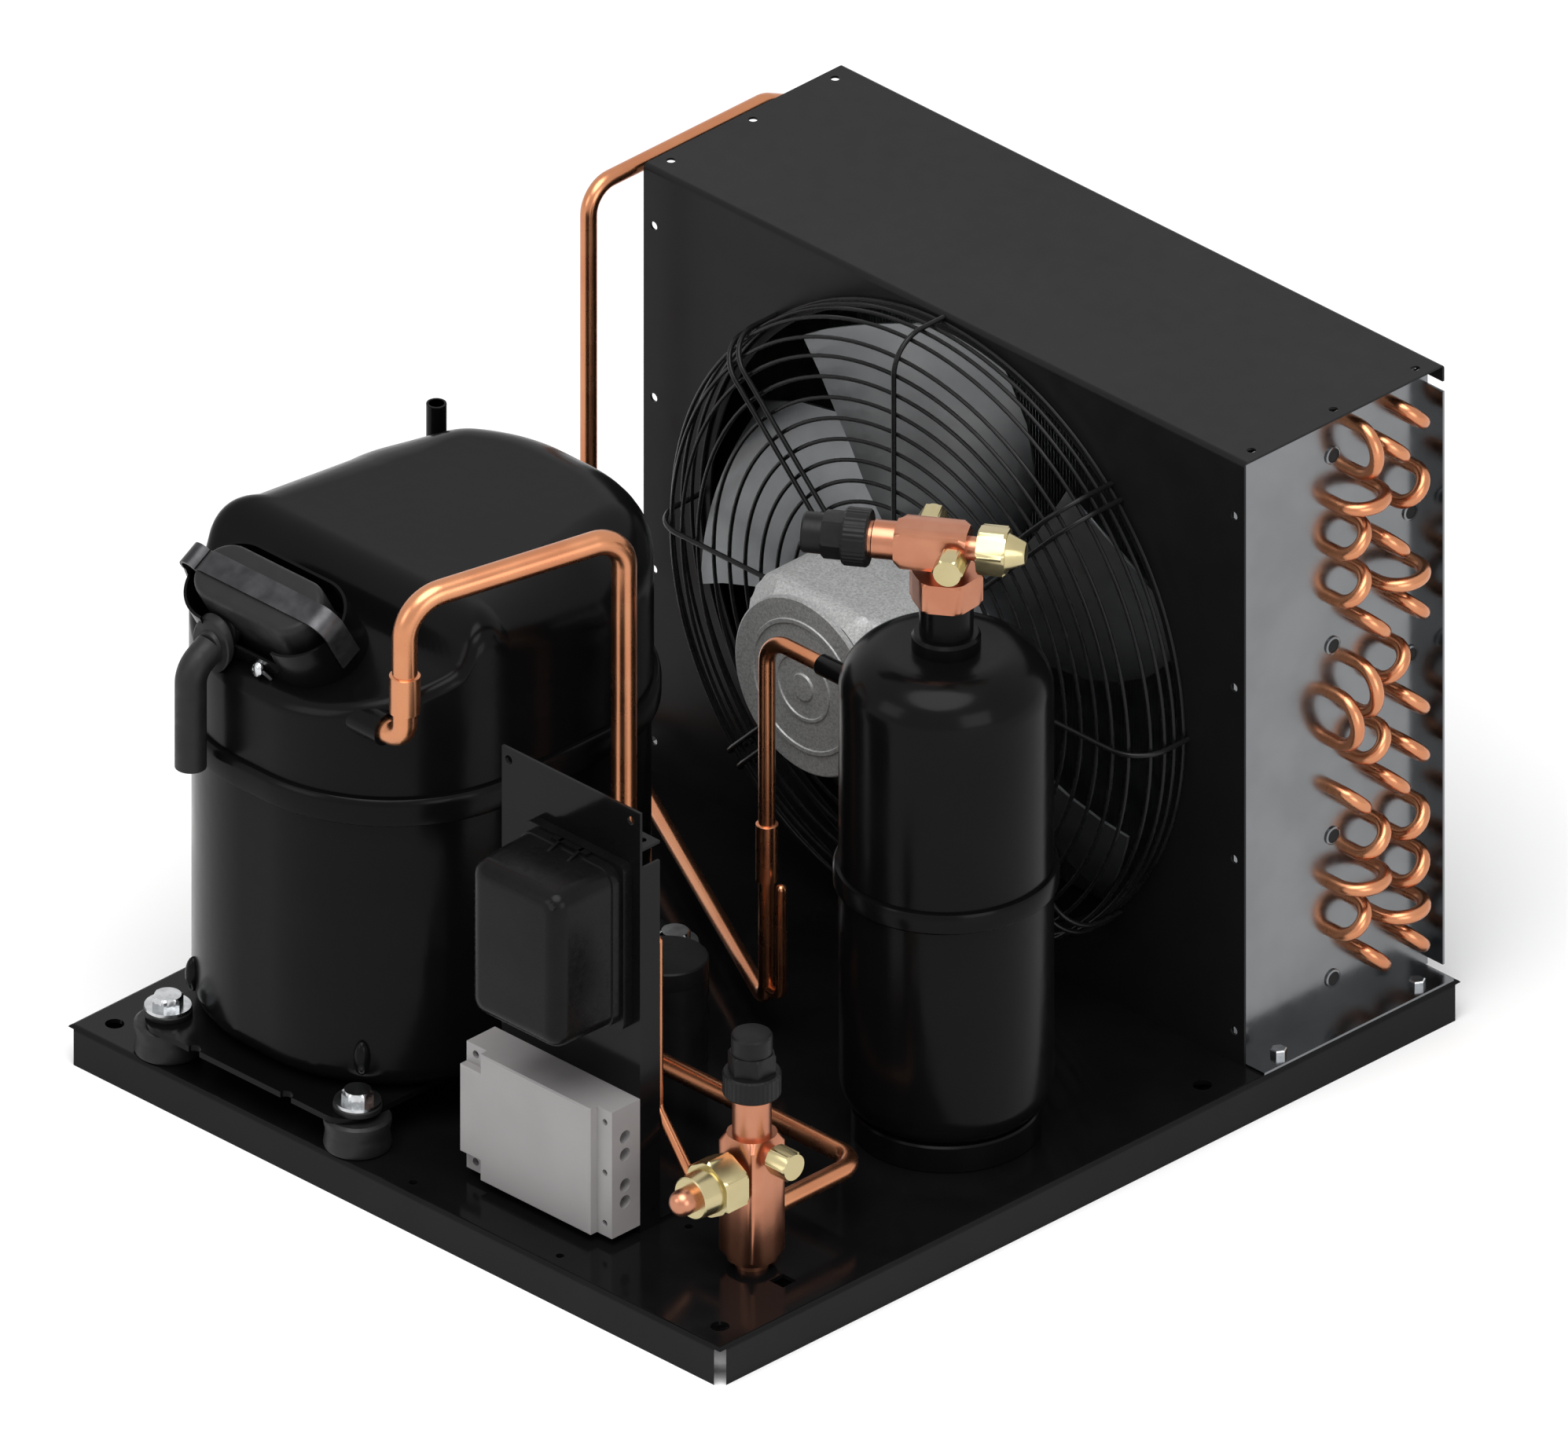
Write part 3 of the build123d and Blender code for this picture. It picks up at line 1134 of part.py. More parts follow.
plugs = [front_plug, back_plug]

save("service_valve_body", service_valve_body())
save("service_valve_cap", stem_cap(SERVICE_ROOT, SERVICE_STEM_VISIBLE))
save("service_valve_spindle", stem_spindle(SERVICE_ROOT, SERVICE_STEM_VISIBLE))
flare_face = Plane(origin=(SERVICE_X, SERVICE_Y - SERVICE_W / 2, SERVICE_FLARE_Z), z_dir=(0, -1, 0))
neck, nut = flare_nut(flare_face, 16.0, 3.6, 26.0, 14.6, 21.0, 11.0)
plug_face = Plane(origin=(SERVICE_X + SERVICE_W / 2, SERVICE_Y, SERVICE_PLUG_Z), z_dir=(1, 0, 0))
plug_neck, plug = side_plug(plug_face)
bonnet_y = SERVICE_Y - SERVICE_W / 2 - 3.6 - 14.6 - 11.0
bonnet_place = Pos(SERVICE_X, bonnet_y, SERVICE_FLARE_Z) * Rot(90, 0, 0)
bonnet = bonnet_place * turned_post(0, 0, 0, 11.0, 13.0, 0.0, 6.0, 3)
save("service_flare_nut", nut)
save("valve_necks", neck, plug_neck, *necks)
save("valve_plugs", plug, *plugs)
save("service_bonnet", bonnet)

save("suction_line", suction_line())
save("suction_socket", suction_socket(upper))
suction_leg = [(SUCTION_PORT_X, SUCTION_PORT_Y, 254.0), (SUCTION_PORT_X, SUCTION_PORT_Y, 274.0)]
liquid_leg = [(LIQUID_X, RECEIVER_Y, 103.8), (LIQUID_X, RECEIVER_Y, 134.8)]
save("line_couplings", sleeve(*suction_leg, SUCTION_D), sleeve(*liquid_leg, LINE_D))
save("suction_lower_line", suction_lower_line())
save("liquid_line", liquid_line())
save("discharge_line", discharge_line(lower))
save("capped_stubs", service_stub(), liquid_stub(liquid_line()))

save("bracket", bracket())
save("bracket_screw", bracket_screw())
save("relay_base", relay_base())
save("relay_lid", relay_lid())
save("control_box_base", box_base())
save("control_box_cover", box_cover())
save("capacitor", capacitor_can(), capacitor_lid())
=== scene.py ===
import bpy
from math import cos, hypot, pi, radians, sin, tan
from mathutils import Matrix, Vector


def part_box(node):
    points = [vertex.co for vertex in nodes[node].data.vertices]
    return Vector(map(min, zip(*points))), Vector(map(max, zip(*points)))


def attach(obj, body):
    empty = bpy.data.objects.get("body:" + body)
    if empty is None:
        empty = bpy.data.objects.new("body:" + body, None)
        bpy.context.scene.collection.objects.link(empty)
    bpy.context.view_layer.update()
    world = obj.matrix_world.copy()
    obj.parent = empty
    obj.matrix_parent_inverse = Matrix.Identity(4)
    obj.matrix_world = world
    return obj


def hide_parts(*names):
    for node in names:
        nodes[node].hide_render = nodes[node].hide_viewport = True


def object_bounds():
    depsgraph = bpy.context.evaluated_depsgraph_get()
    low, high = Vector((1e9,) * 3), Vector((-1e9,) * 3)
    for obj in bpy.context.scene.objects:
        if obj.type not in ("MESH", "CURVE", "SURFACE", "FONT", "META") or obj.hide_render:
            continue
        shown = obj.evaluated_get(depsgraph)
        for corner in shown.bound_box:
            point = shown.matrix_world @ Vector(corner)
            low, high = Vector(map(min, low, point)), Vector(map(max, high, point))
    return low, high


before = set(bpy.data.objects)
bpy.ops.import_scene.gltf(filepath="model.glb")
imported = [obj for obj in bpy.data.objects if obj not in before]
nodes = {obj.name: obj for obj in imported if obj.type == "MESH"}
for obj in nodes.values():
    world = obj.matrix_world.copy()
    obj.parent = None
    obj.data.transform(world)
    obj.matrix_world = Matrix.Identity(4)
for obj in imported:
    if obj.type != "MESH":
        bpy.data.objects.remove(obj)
cad_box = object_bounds()

# ------------------------------------------------------------------ base plate
# Folded steel pan, rim down, powder coated gloss black.
# Pressed from one sheet: the four corners are notched before the rim is folded.
# Sizes below are millimetres on the base plate's own centre lines, this far behind the frame's.
FOOTPRINT_SHIFT = 3.891


def linear(code):
    """Linear colour from an sRGB hex code."""
    parts = [int(code[i : i + 2], 16) / 255 for i in (0, 2, 4)]
    return [c / 12.92 if c <= 0.04045 else ((c + 0.055) / 1.055) ** 2.4 for c in parts] + [1.0]


def add(tree, kind, settings=None, links=None, **fields):
    """One shader node, with its socket settings, its links and its own fields."""
    made = tree.nodes.new(kind)
    for key, value in fields.items():
        setattr(made, key, value)
    for key, value in (settings or {}).items():
        made.inputs[key].default_value = value
    for key, source in (links or {}).items():
        tree.links.new(source, made.inputs[key])
    return made


def new_finish(name, code, **sockets):
    """A surface with its constant values set on the shader; returns material, tree, shader, place."""
    material = bpy.data.materials.new(name)
    material.use_nodes = True
    tree = material.node_tree
    shader = tree.nodes["Principled BSDF"]
    shader.inputs["Base Color"].default_value = linear(code)
    for key, value in sockets.items():
        shader.inputs[key.replace("_", " ")].default_value = value
    place = add(tree, "ShaderNodeTexCoord").outputs["Object"]
    return material, tree, shader, place


def roughen(tree, shader, place, scale, low, high, detail=4.0):
    """Roughness that wanders between two values with a noise of the given fineness."""
    noise = add(tree, "ShaderNodeTexNoise", {"Scale": scale, "Detail": detail}, {"Vector": place})
    spread = add(
        tree, "ShaderNodeMapRange",
        {"From Min": 0.3, "From Max": 0.7, "To Min": low, "To Max": high},
        {"Value": noise.outputs["Fac"]},
    )
    tree.links.new(spread.outputs["Result"], shader.inputs["Roughness"])


def dimple(tree, shader, place, scale, strength, distance, detail=3.0):
    """Fine relief from noise: orange peel, casting grain or moulded texture."""
    noise = add(tree, "ShaderNodeTexNoise", {"Scale": scale, "Detail": detail}, {"Vector": place})
    bump = add(
        tree, "ShaderNodeBump", {"Strength": strength, "Distance": distance},
        {"Height": noise.outputs["Fac"]},
    )
    tree.links.new(bump.outputs["Normal"], shader.inputs["Normal"])


def tint(tree, shader, place, scale, first, second, low=0.35, high=0.65, detail=3.0):
    """Colour that drifts between two shades over the surface."""
    noise = add(tree, "ShaderNodeTexNoise", {"Scale": scale, "Detail": detail}, {"Vector": place})
    ramp = add(tree, "ShaderNodeValToRGB", {}, {"Fac": noise.outputs["Fac"]})
    ramp.color_ramp.elements[0].position = low
    ramp.color_ramp.elements[0].color = linear(first)
    ramp.color_ramp.elements[1].position = high
    ramp.color_ramp.elements[1].color = linear(second)
    tree.links.new(ramp.outputs["Color"], shader.inputs["Base Color"])


# Gloss black powder coat: dielectric film, faint orange peel a few millimetres wide.
powder_coat, tree, shader, place = new_finish(
    "powder_coat_gloss_black", "0D0D0E", IOR=1.5, Specular_IOR_Level=0.1
)
tint(tree, shader, place, 30.0, "0C0C0D", "0F0F10")
roughen(tree, shader, place, 60.0, 0.10, 0.17)
dimple(tree, shader, place, 350.0, 0.04, 0.0002)


def coat(material, *names):
    """Give a material to nodes carried over from the frame."""
    for name in names:
        mesh = nodes[name].data
        mesh.materials.clear()
        mesh.materials.append(material)


coat(powder_coat, "base_plate")

# ------------------------------------------------------------------ coil housing
# One folded steel sheet makes the front panel with the fan orifice, the top and the back lip.
# Satin black coat, a little duller than the base.
panel_coat, tree, shader, place = new_finish(
    "powder_coat_satin_black", "151516", IOR=1.5, Specular_IOR_Level=0.12
)
tint(tree, shader, place, 12.0, "131314", "161617")
roughen(tree, shader, place, 90.0, 0.30, 0.40)
dimple(tree, shader, place, 1400.0, 0.08, 0.0002)
coat(panel_coat, "fan_shroud")

# Tube sheets: galvanised steel, skin-passed to an even grey, only faint clouds left in it.
zinc, tree, shader, place = new_finish("galvanised_steel_even_grey", "77797B", Metallic=1.0)
tint(tree, shader, place, 35.0, "747678", "7B7D7F")
roughen(tree, shader, place, 120.0, 0.17, 0.22)
coat(zinc, "end_plate_right", "end_plate_left")


# ------------------------------------------------------------------ coil fins
# Aluminium fins pressed on the tubes, about 2 mm apart here so that they show.
# Each fin is one thin sheet from the drip edge to the top of the coil.
def object_from(name, verts, faces, material, sharp=35.0):
    """A mesh piece in metres, smooth except across edges sharper than the angle."""
    mesh = bpy.data.meshes.new(name)
    mesh.from_pydata([tuple(v) for v in verts], [], faces)
    mesh.validate()
    mesh.shade_smooth()
    mesh.set_sharp_from_angle(angle=radians(sharp))
    mesh.materials.append(material)
    made = bpy.data.objects.new(name, mesh)
    bpy.context.scene.collection.objects.link(made)
    return made


def fit(piece, body, slot, *replaced):
    """Ride on a body and stand for frame nodes; the slot argument is not used."""
    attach(piece, body)
    if replaced:
        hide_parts(*replaced)
    return piece


# Mill-finish fin stock: soft sheen, fine dust.
fin_stock, tree, shader, place = new_finish("aluminium_fin_stock", "A9ABAD", Metallic=1.0)
tint(tree, shader, place, 60.0, "9B9DA0", "B2B4B6")
roughen(tree, shader, place, 400.0, 0.3, 0.45)

low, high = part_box("fin_pack")
FIN_PITCH, FIN_SHEET = 0.002, 0.00014
count = int((high.x - low.x) / FIN_PITCH)
verts, faces = [], []
for i in range(count + 1):
    x0 = low.x + i * (high.x - low.x - FIN_SHEET) / count
    start = len(verts)
    for x in (x0, x0 + FIN_SHEET):
        for y, z in ((low.y, low.z), (high.y, low.z), (high.y, high.z), (low.y, high.z)):
            verts.append((x, y, z))
    for quad in ((3, 2, 1, 0), (4, 5, 6, 7), (0, 1, 5, 4), (1, 2, 6, 5), (2, 3, 7, 6), (3, 0, 4, 7)):
        faces.append([start + q for q in quad])
fins = object_from("coil_fins", verts, faces, fin_stock)
fit(fins, "unit", "aluminium_fin", "fin_pack")


# ------------------------------------------------------------------ return bends
# Hairpin copper tube, 7 mm, brazed into the ends of the coil tubes outside each tube sheet.
# Bright drawn copper; the brazing heat darkens it near the plate, which the copper material does not show.
def swept(line, radius, sides=20):
    """Rings of a round bar along a line of points, carried without twist."""
    line = [Vector(p) for p in line]
    heading = (line[1] - line[0]).normalized()
    side = heading.orthogonal().normalized()
    rings = []
    for i, point in enumerate(line):
        before = line[i] - line[i - 1] if i else line[1] - line[0]
        after = line[i + 1] - line[i] if i + 1 < len(line) else before
        ahead = (before.normalized() + after.normalized()).normalized()
        side = (side - ahead * side.dot(ahead)).normalized()
        other = ahead.cross(side)
        ring = []
        for k in range(sides):
            a = 2 * pi * k / sides
            ring.append(point + side * (radius * cos(a)) + other * (radius * sin(a)))
        rings.append(ring)
    return rings


def skin(groups, name, material, sharp=35.0, loop=False):
    """One object from groups of rings; each group is closed at its ends, or on itself."""
    verts, faces = [], []
    for rings in groups:
        sides = len(rings[0])
        start = len(verts)
        for ring in rings:
            verts.extend(v * 0.001 + Vector((0, FOOTPRINT_SHIFT * 0.001, 0)) for v in ring)
        turns = len(rings) if loop else len(rings) - 1
        for i in range(turns):
            a, b = start + i * sides, start + (i + 1) % len(rings) * sides
            for k in range(sides):
                n = (k + 1) % sides
                faces.append([a + k, a + n, b + n, b + k])
        if not loop:
            faces.append([start + k for k in reversed(range(sides))])
            faces.append([start + (len(rings) - 1) * sides + k for k in range(sides)])
    return object_from(name, verts, faces, material, sharp)


# Drawn copper: warm metal, soft drawing lines, slight drift to brown.
copper, tree, shader, place = new_finish("copper_drawn_satin", "D69274", Metallic=1.0)
tint(tree, shader, place, 30.0, "BE7D5A", "C68863")
roughen(tree, shader, place, 60.0, 0.25, 0.3)

ROW_Y, ROW_PITCH, TUBE_PITCH, TOP_TUBE_Z = 179.5, 12.7, 25.4, 330.3
COIL_X, PLATE_REACH, COIL_TUBE_R = 3.4, 188.6, 3.45
# Places are (row, step down the row).
EMPTY = [(1, 0), (1, 4), (1, 8), (1, 11), (5, 2), (5, 5)]
RIGHT_PAIRS = [
    ((4, 0), (5, 0)), ((2, 0), (2, 1)), ((3, 0), (4, 1)), ((5, 1), (4, 2)), ((1, 1), (3, 1)),
    ((2, 2), (1, 2)), ((3, 2), (4, 3)), ((5, 3), (3, 3)), ((2, 3), (1, 3)), ((4, 4), (5, 4)),
    ((2, 4), (3, 4)), ((4, 5), (3, 5)), ((2, 5), (2, 6)), ((4, 6), (5, 6)), ((1, 5), (1, 6)),
    ((3, 6), (2, 7)), ((4, 7), (5, 7)), ((3, 7), (4, 8)), ((1, 7), (2, 8)), ((5, 8), (4, 9)),
    ((3, 8), (2, 9)), ((5, 9), (4, 10)), ((1, 9), (3, 9)), ((5, 10), (3, 10)), ((2, 10), (1, 10)),
    ((4, 11), (5, 11)), ((2, 11), (3, 11)),
]


def tube_place(row, step):
    """Y and Z of a coil tube; odd rows sit half a pitch lower."""
    drop = 0.0 if row % 2 == 0 else TUBE_PITCH / 2
    return ROW_Y + (row - 1) * ROW_PITCH, TOP_TUBE_Z - drop - step * TUBE_PITCH


def hairpin(side, leg, first, second):
    """Legs out of the plate and a half turn between them, oval where the turn is wide."""
    y1, z1 = tube_place(*first)
    y2, z2 = tube_place(*second)
    x0 = COIL_X + side * PLATE_REACH
    across = Vector((0, y2 - y1, z2 - z1))
    half = across.length / 2
    across.normalize()
    middle = Vector((x0 + side * leg, (y1 + y2) / 2, (z1 + z2) / 2))
    line = [Vector((x0, y1, z1))]
    for step in range(17):
        a = pi * step / 16
        outward = Vector((side * min(half, TUBE_PITCH / 2) * sin(a), 0, 0))
        line.append(middle - across * (half * cos(a)) + outward)
    line.append(Vector((x0, y2, z2)))
    return swept(line, COIL_TUBE_R, 16)


right = skin([hairpin(1, 4.0, a, b) for a, b in RIGHT_PAIRS], "return_bends", copper)
fit(right, "unit", "copper", "return_bends_right")
left_pairs = []
for row in range(1, 6):
    free = [(row, s) for s in range(12) if (row, s) not in EMPTY + [(4, 0), (4, 11)]]
    left_pairs.extend(zip(free[0::2], free[1::2]))
left = skin([hairpin(-1, 2.0, a, b) for a, b in left_pairs], "hairpin_turns", copper)
fit(left, "unit", "copper", "return_bends_left")

# Empty tube places: a short copper collar round each hole, on the right tube sheet. The hole's dark inside
# is painted shade: a near-black disc just inside the collar.
painted_shade_bore, tree, shader, place = new_finish("shadowed_bore_black", "050505", Roughness=0.9)
tint(tree, shader, place, 80.0, "040404", "080808")


def turned(origin, axis, profile, sides=64, shape=None):
    """Rings about an axis from (radius, height) pairs; shape scales the radius by angle."""
    axis = Vector(axis).normalized()
    u = Vector((0, 0, 1)) if abs(axis.z) < 0.99 else Vector((1, 0, 0))
    v = axis.cross(u)
    origin = Vector(origin)
    rings = []
    for i, (r, h) in enumerate(profile):
        ring = []
        for k in range(sides):
            a = 2 * pi * k / sides
            rr = r * shape(a, i) if shape else r
            ring.append(origin + axis * h + u * (rr * cos(a)) + v * (rr * sin(a)))
        rings.append(ring)
    return rings


PLATE_FACE_X = 191.9
collar_profile = [(4.6, 0), (4.6, 0.9), (4.2, 1.1), (3.5, 1.1), (3.4, 0.6)]
collars, bores = [], []
for row, step in EMPTY:
    y, z = tube_place(row, step)
    collars.append(turned((PLATE_FACE_X, y, z), (1, 0, 0), collar_profile, 28))
    bores.append(turned((PLATE_FACE_X, y, z), (1, 0, 0), [(3.4, 0), (3.4, 0.7)], 28))
fit(skin(collars, "tube_sheet_collars", zinc), "unit", "galvanised")
fit(skin(bores, "tube_sheet_bores", painted_shade_bore), "unit", "galvanised")

# ------------------------------------------------------------------ fan guard
# Steel wire rings welded on radial spokes, dipped black; screwed to the front panel.
# Singles stand on the level and upright lines, pairs on the diagonals.
wire_coat, tree, shader, place = new_finish("dipped_wire_black", "131314", IOR=1.5, Specular_IOR_Level=0.16)
tint(tree, shader, place, 40.0, "111112", "171718")
roughen(tree, shader, place, 200.0, 0.2, 0.32)

FAN_CENTRE = Vector((3.4, 0, 181.0))
GUARD_R, FLAT_R, RING_PITCH, WIRE_R = 158.8, 140.8, 10.33, 1.0
SPOKE_R, SPOKE_FLAT_R, SPOKE_Y, RING_Y, PANEL_Y = 160.05, 142.0, 81.25, 83.5, 114.0


def wire_ring(radius, y):
    """Round wire bent to a ring about the fan's axis."""
    rings = []
    for k in range(120):
        a = 2 * pi * k / 120
        out = Vector((cos(a), 0, sin(a)))
        centre = FAN_CENTRE + out * radius + Vector((0, y, 0))
        ring = []
        for j in range(10):
            b = 2 * pi * j / 10
            ring.append(centre + (out * cos(b) + Vector((0, 1, 0)) * sin(b)) * WIRE_R)
        rings.append(ring)
    return rings


bend = GUARD_R - SPOKE_FLAT_R
hoops = [wire_ring(FLAT_R - i * RING_PITCH, RING_Y) for i in range(10)]
for angle in (62.0, 24.0):
    reach = bend - WIRE_R
    y = RING_Y - WIRE_R + bend - reach * sin(radians(angle))
    hoops.append(wire_ring(SPOKE_FLAT_R + reach * cos(radians(angle)), y))
hoops += [wire_ring(GUARD_R - WIRE_R, PANEL_Y - WIRE_R - 6.2 * i) for i in range(3)]
fit(skin(hoops, "guard_hoops", wire_coat, loop=True), "unit", "guard_wire", "guard_rings")


def spoke(turn, aside, bent=True, rim_y=PANEL_Y - 0.2):
    """Radial wire from the motor out over the rim and back to the panel."""
    out = Vector((cos(radians(turn)), 0, sin(radians(turn))))
    over = Vector((-out.z, 0, out.x)) * aside
    line = [FAN_CENTRE + out * 34.0 + over + Vector((0, SPOKE_Y, 0))]
    if bent:
        radius = SPOKE_R - SPOKE_FLAT_R
        for i in range(11):
            a = pi / 2 * i / 10
            r, y = SPOKE_FLAT_R + radius * sin(a), SPOKE_Y + radius * (1 - cos(a))
            line.append(FAN_CENTRE + out * r + over + Vector((0, y, 0)))
        line.append(FAN_CENTRE + out * SPOKE_R + over + Vector((0, rim_y, 0)))
    else:
        line.append(FAN_CENTRE + out * (FLAT_R + 1.8) + over + Vector((0, SPOKE_Y, 0)))
    return swept(line, 1.25, 12)


wires = [spoke(t, 0.0, t != 270) for t in (0, 90, 180, 270)]
wires += [spoke(t, s * 4.35) for t in (45, 135, 225, 315) for s in (-1, 1)]
fit(skin(wires, "guard_wires", wire_coat), "unit", "guard_wire", "guard_spokes")

# ------------------------------------------------------------------ fan motor
# Die-cast aluminium body, shot blasted: pale grey with a coarse grain, square with round corners.
# The round cover in front carries raised rings from its mould.
casting, tree, shader, place = new_finish("die_cast_shot_blasted", "A4A5A4", Metallic=0.35)
tint(tree, shader, place, 900.0, "8F908F", "B4B5B4", 0.3, 0.7)
roughen(tree, shader, place, 600.0, 0.45, 0.62)
dimple(tree, shader, place, 1100.0, 0.35, 0.0004)


def oblong(half_x, half_y, corner, steps=10):
    """Plan of a rectangle with round corners, anticlockwise from the right side."""
    points = []
    for quarter, (sx, sy) in enumerate(((1, 1), (-1, 1), (-1, -1), (1, -1))):
        cx, cy = sx * (half_x - corner), sy * (half_y - corner)
        for k in range(steps + 1):
            a = pi / 2 * (quarter + k / steps)
            points.append((cx + corner * cos(a), cy + corner * sin(a)))
    return points


# Depth along the axis, and the radius that the corners are kept within.
body_levels = [
    (80.0, 60.0), (60.0, 60.0), (40.0, 60.0), (37.0, 56.4), (34.0, 53.4),
    (31.0, 50.6), (28.0, 47.8), (25.6, 45.6), (25.0, 45.0),
]
rings = []
for y, limit in body_levels:
    ring = []
    for px, pz in oblong(44.0, 44.0, 18.0):
        reach = hypot(px, pz)
        scale = min(1.0, limit / reach)
        ring.append(FAN_CENTRE + Vector((-px * scale, y, pz * scale)))
    rings.append(ring)
fit(skin([rings], "motor_body", casting, 22.0), "unit", "cast_grey", "motor_housing")

cover_profile = [
    (43.6, 0), (45.0, 0.6), (45.0, 2.4), (44.2, 3.0),
    (34.4, 3.0), (34.0, 3.7), (32.2, 3.7), (31.8, 3.0),
    (17.8, 3.0), (17.4, 3.7), (16.2, 3.7), (15.8, 3.0),
    (7.0, 3.0), (6.5, 4.0), (0.8, 4.1),
]
cover = skin([turned((3.4, 25.0, 181.0), (0, -1, 0), cover_profile, 96)], "motor_cover_disc", casting, 25.0)
fit(cover, "unit", "cast_grey", "motor_cover")

# ------------------------------------------------------------------ fan
# Five swept aluminium blades riveted to a pressed cup on the motor shaft.
# Rolled sheet: silver, slightly dull, with an even sheen along the sweep.
blade_sheet, tree, shader, place = new_finish("aluminium_rolled_satin", "7E8082", Metallic=1.0)
tint(tree, shader, place, 25.0, "787A7C", "868889")
roughen(tree, shader, place, 500.0, 0.38, 0.46)
# Radius, chord, lead angle and pitch angle of each station, from hub to tip.
STATIONS = [
    (40.0, 56.0, 1.2, 32.6), (72.0, 82.0, 5.0, 30.0), (91.0, 90.0, 8.2, 28.0),
    (110.0, 96.0, 12.0, 26.0), (130.0, 96.0, 16.6, 24.0), (147.0, 93.5, 20.7, 22.6),
]


def blade(turn):
    """Sheet blade as rings round its section at each station from hub to tip."""
    rings = []
    for radius, chord, lead, pitch in STATIONS:
        t, p = radians(lead + turn), radians(pitch)
        ring = []
        for side, span in ((0.9, range(0, 13)), (-0.9, range(12, -1, -1))):
            for k in span:
                s = (k / 12 - 0.5) * chord
                bow = 5.0 * (1 - (2 * s / chord) ** 2)
                a = t + s * cos(p) / radius
                x, z = radius * cos(a), radius * sin(a)
                y = 114.5 - s * sin(p) - (side + bow) * cos(p) + 2.5
                ring.append(FAN_CENTRE + Vector((x, y, z)))
        rings.append(ring)
    return rings


blades = skin([blade(12.0 + 72.0 * i) for i in range(5)], "fan_blade_set", blade_sheet, 50.0)
fit(blades, "fan_rotor", "aluminium_fin", "fan_blades")
hub_profile = [
    (39.0, 0), (42.0, 0), (42.0, 34.0), (40.5, 37.0),
    (37.0, 38.0), (11.0, 38.0), (10.0, 37.0), (4.2, 37.0),
]
hub = skin([turned((3.4, 132.0, 181.0), (0, -1, 0), hub_profile, 64)], "fan_cup", blade_sheet, 30.0)
fit(hub, "fan_rotor", "aluminium_fin", "fan_hub")
shaft_profile = [(3.6, 0), (4.0, 0.4), (4.0, 44.6), (3.6, 45.0)]
shaft = skin([turned((3.4, 110.0, 181.0), (0, -1, 0), shaft_profile, 32)], "motor_shaft", blade_sheet)
fit(shaft, "fan_rotor", "bolt_steel", "fan_shaft")

# ------------------------------------------------------------------ compressor shells
# Two deep-drawn steel cups, the lower pushed into the upper and welded round the middle rim.
# The upper one is pressed down in front to a sloping floor for the terminals.
# Thick gloss enamel, baked: nearly black, soft reflections, a little uneven.
enamel, tree, shader, place = new_finish("baked_enamel_black", "080809", IOR=1.5, Specular_IOR_Level=0.08)
tint(tree, shader, place, 14.0, "090909", "0C0C0D")
roughen(tree, shader, place, 25.0, 0.16, 0.27)
dimple(tree, shader, place, 130.0, 0.10, 0.0006)

COMP = Vector((-101.5, -122.9, 0))
SHELL_HALF = (89.0, 108.4, 80.0)
RIDGE_Y, TOP_Z, RIDGE_R = -156.0, 284.0, 22.0
RIM_FRONT, RIM_BACK, RIM_FLANK = 6.0, 18.0, 14.0


def shell_ring(grow, z):
    """One level ring of the shell's plan, grown outwards or inwards evenly."""
    half_x, half_y, corner = (size + grow for size in SHELL_HALF)
    return [COMP + Vector((px, py, z)) for px, py in oblong(half_x, half_y, corner, 48)]


def shell_height(y):
    """Height of the upper shell's roof: flat, then round ridge, wall, and the sloping floor."""
    t = RIDGE_Y - y
    if t <= 0:
        return TOP_Z
    reach = RIDGE_R * sin(radians(70))
    arch = (RIDGE_R ** 2 - min(t, reach) ** 2) ** 0.5
    wall = TOP_Z - RIDGE_R + arch - max(0.0, t - reach) * tan(radians(70))
    floor = 253.9 + (y + 201.2) * tan(radians(23))
    ease = max(0.0, 1 - abs(wall - floor) / 7.0)
    return max(wall, floor) + ease * ease * 7.0 / 4


def upper_ring(inset, arc):
    """Ring of the upper shell, inset from its wall; arc is where it stands on the rounded rim."""
    half_x, half_y, corner = (size + 1.2 for size in SHELL_HALF)
    wall = oblong(half_x, half_y, corner, 48)
    ring = []
    for (px, py), (qx, qy) in zip(wall, oblong(half_x - 1, half_y - 1, corner - 1, 48)):
        y_wall = COMP.y + py
        # The rim is tight round the recess, wider at the back and widest on the flanks.
        blend = min(1.0, max(0.0, (y_wall + 186.0) / 60.0))
        flank = min(1.0, max(0.0, (abs(px - qx) - 0.6) / 0.36))
        wide = RIM_BACK + RIM_FLANK * flank * flank * (3 - 2 * flank)
        rim = RIM_FRONT + wide * blend * blend * (3 - 2 * blend)
        if inset is None:
            step_in = rim * (1 - cos(arc))
            drop = rim * (1 - sin(arc))
        else:
            step_in = rim + (corner - 0.5 - rim) * inset
            drop = 0.0
        x, y = px + (qx - px) * step_in, py + (qy - py) * step_in
        ring.append(COMP + Vector((x, y, shell_height(COMP.y + y) - drop)))
    return ring


bottom = 40.2
rings = []
for k in range(9):
    a = pi / 2 * k / 8
    rings.append(shell_ring(-14.0 * (1 - sin(a)), bottom + 14.0 * (1 - cos(a))))
rings.append(shell_ring(0.0, 186.5))
fit(skin([rings], "shell_lower_cup", enamel), "unit", "black_shell", "compressor_lower_shell")

rings = [shell_ring(1.2, 199.0), shell_ring(1.2, 215.0)]
rings += [upper_ring(None, pi / 2 * k / 10) for k in range(11)]
rings += [upper_ring(k / 36, 0.0) for k in range(1, 37)]
fit(skin([rings], "shell_upper_cup", enamel, 60.0), "unit", "black_shell", "compressor_upper_shell")

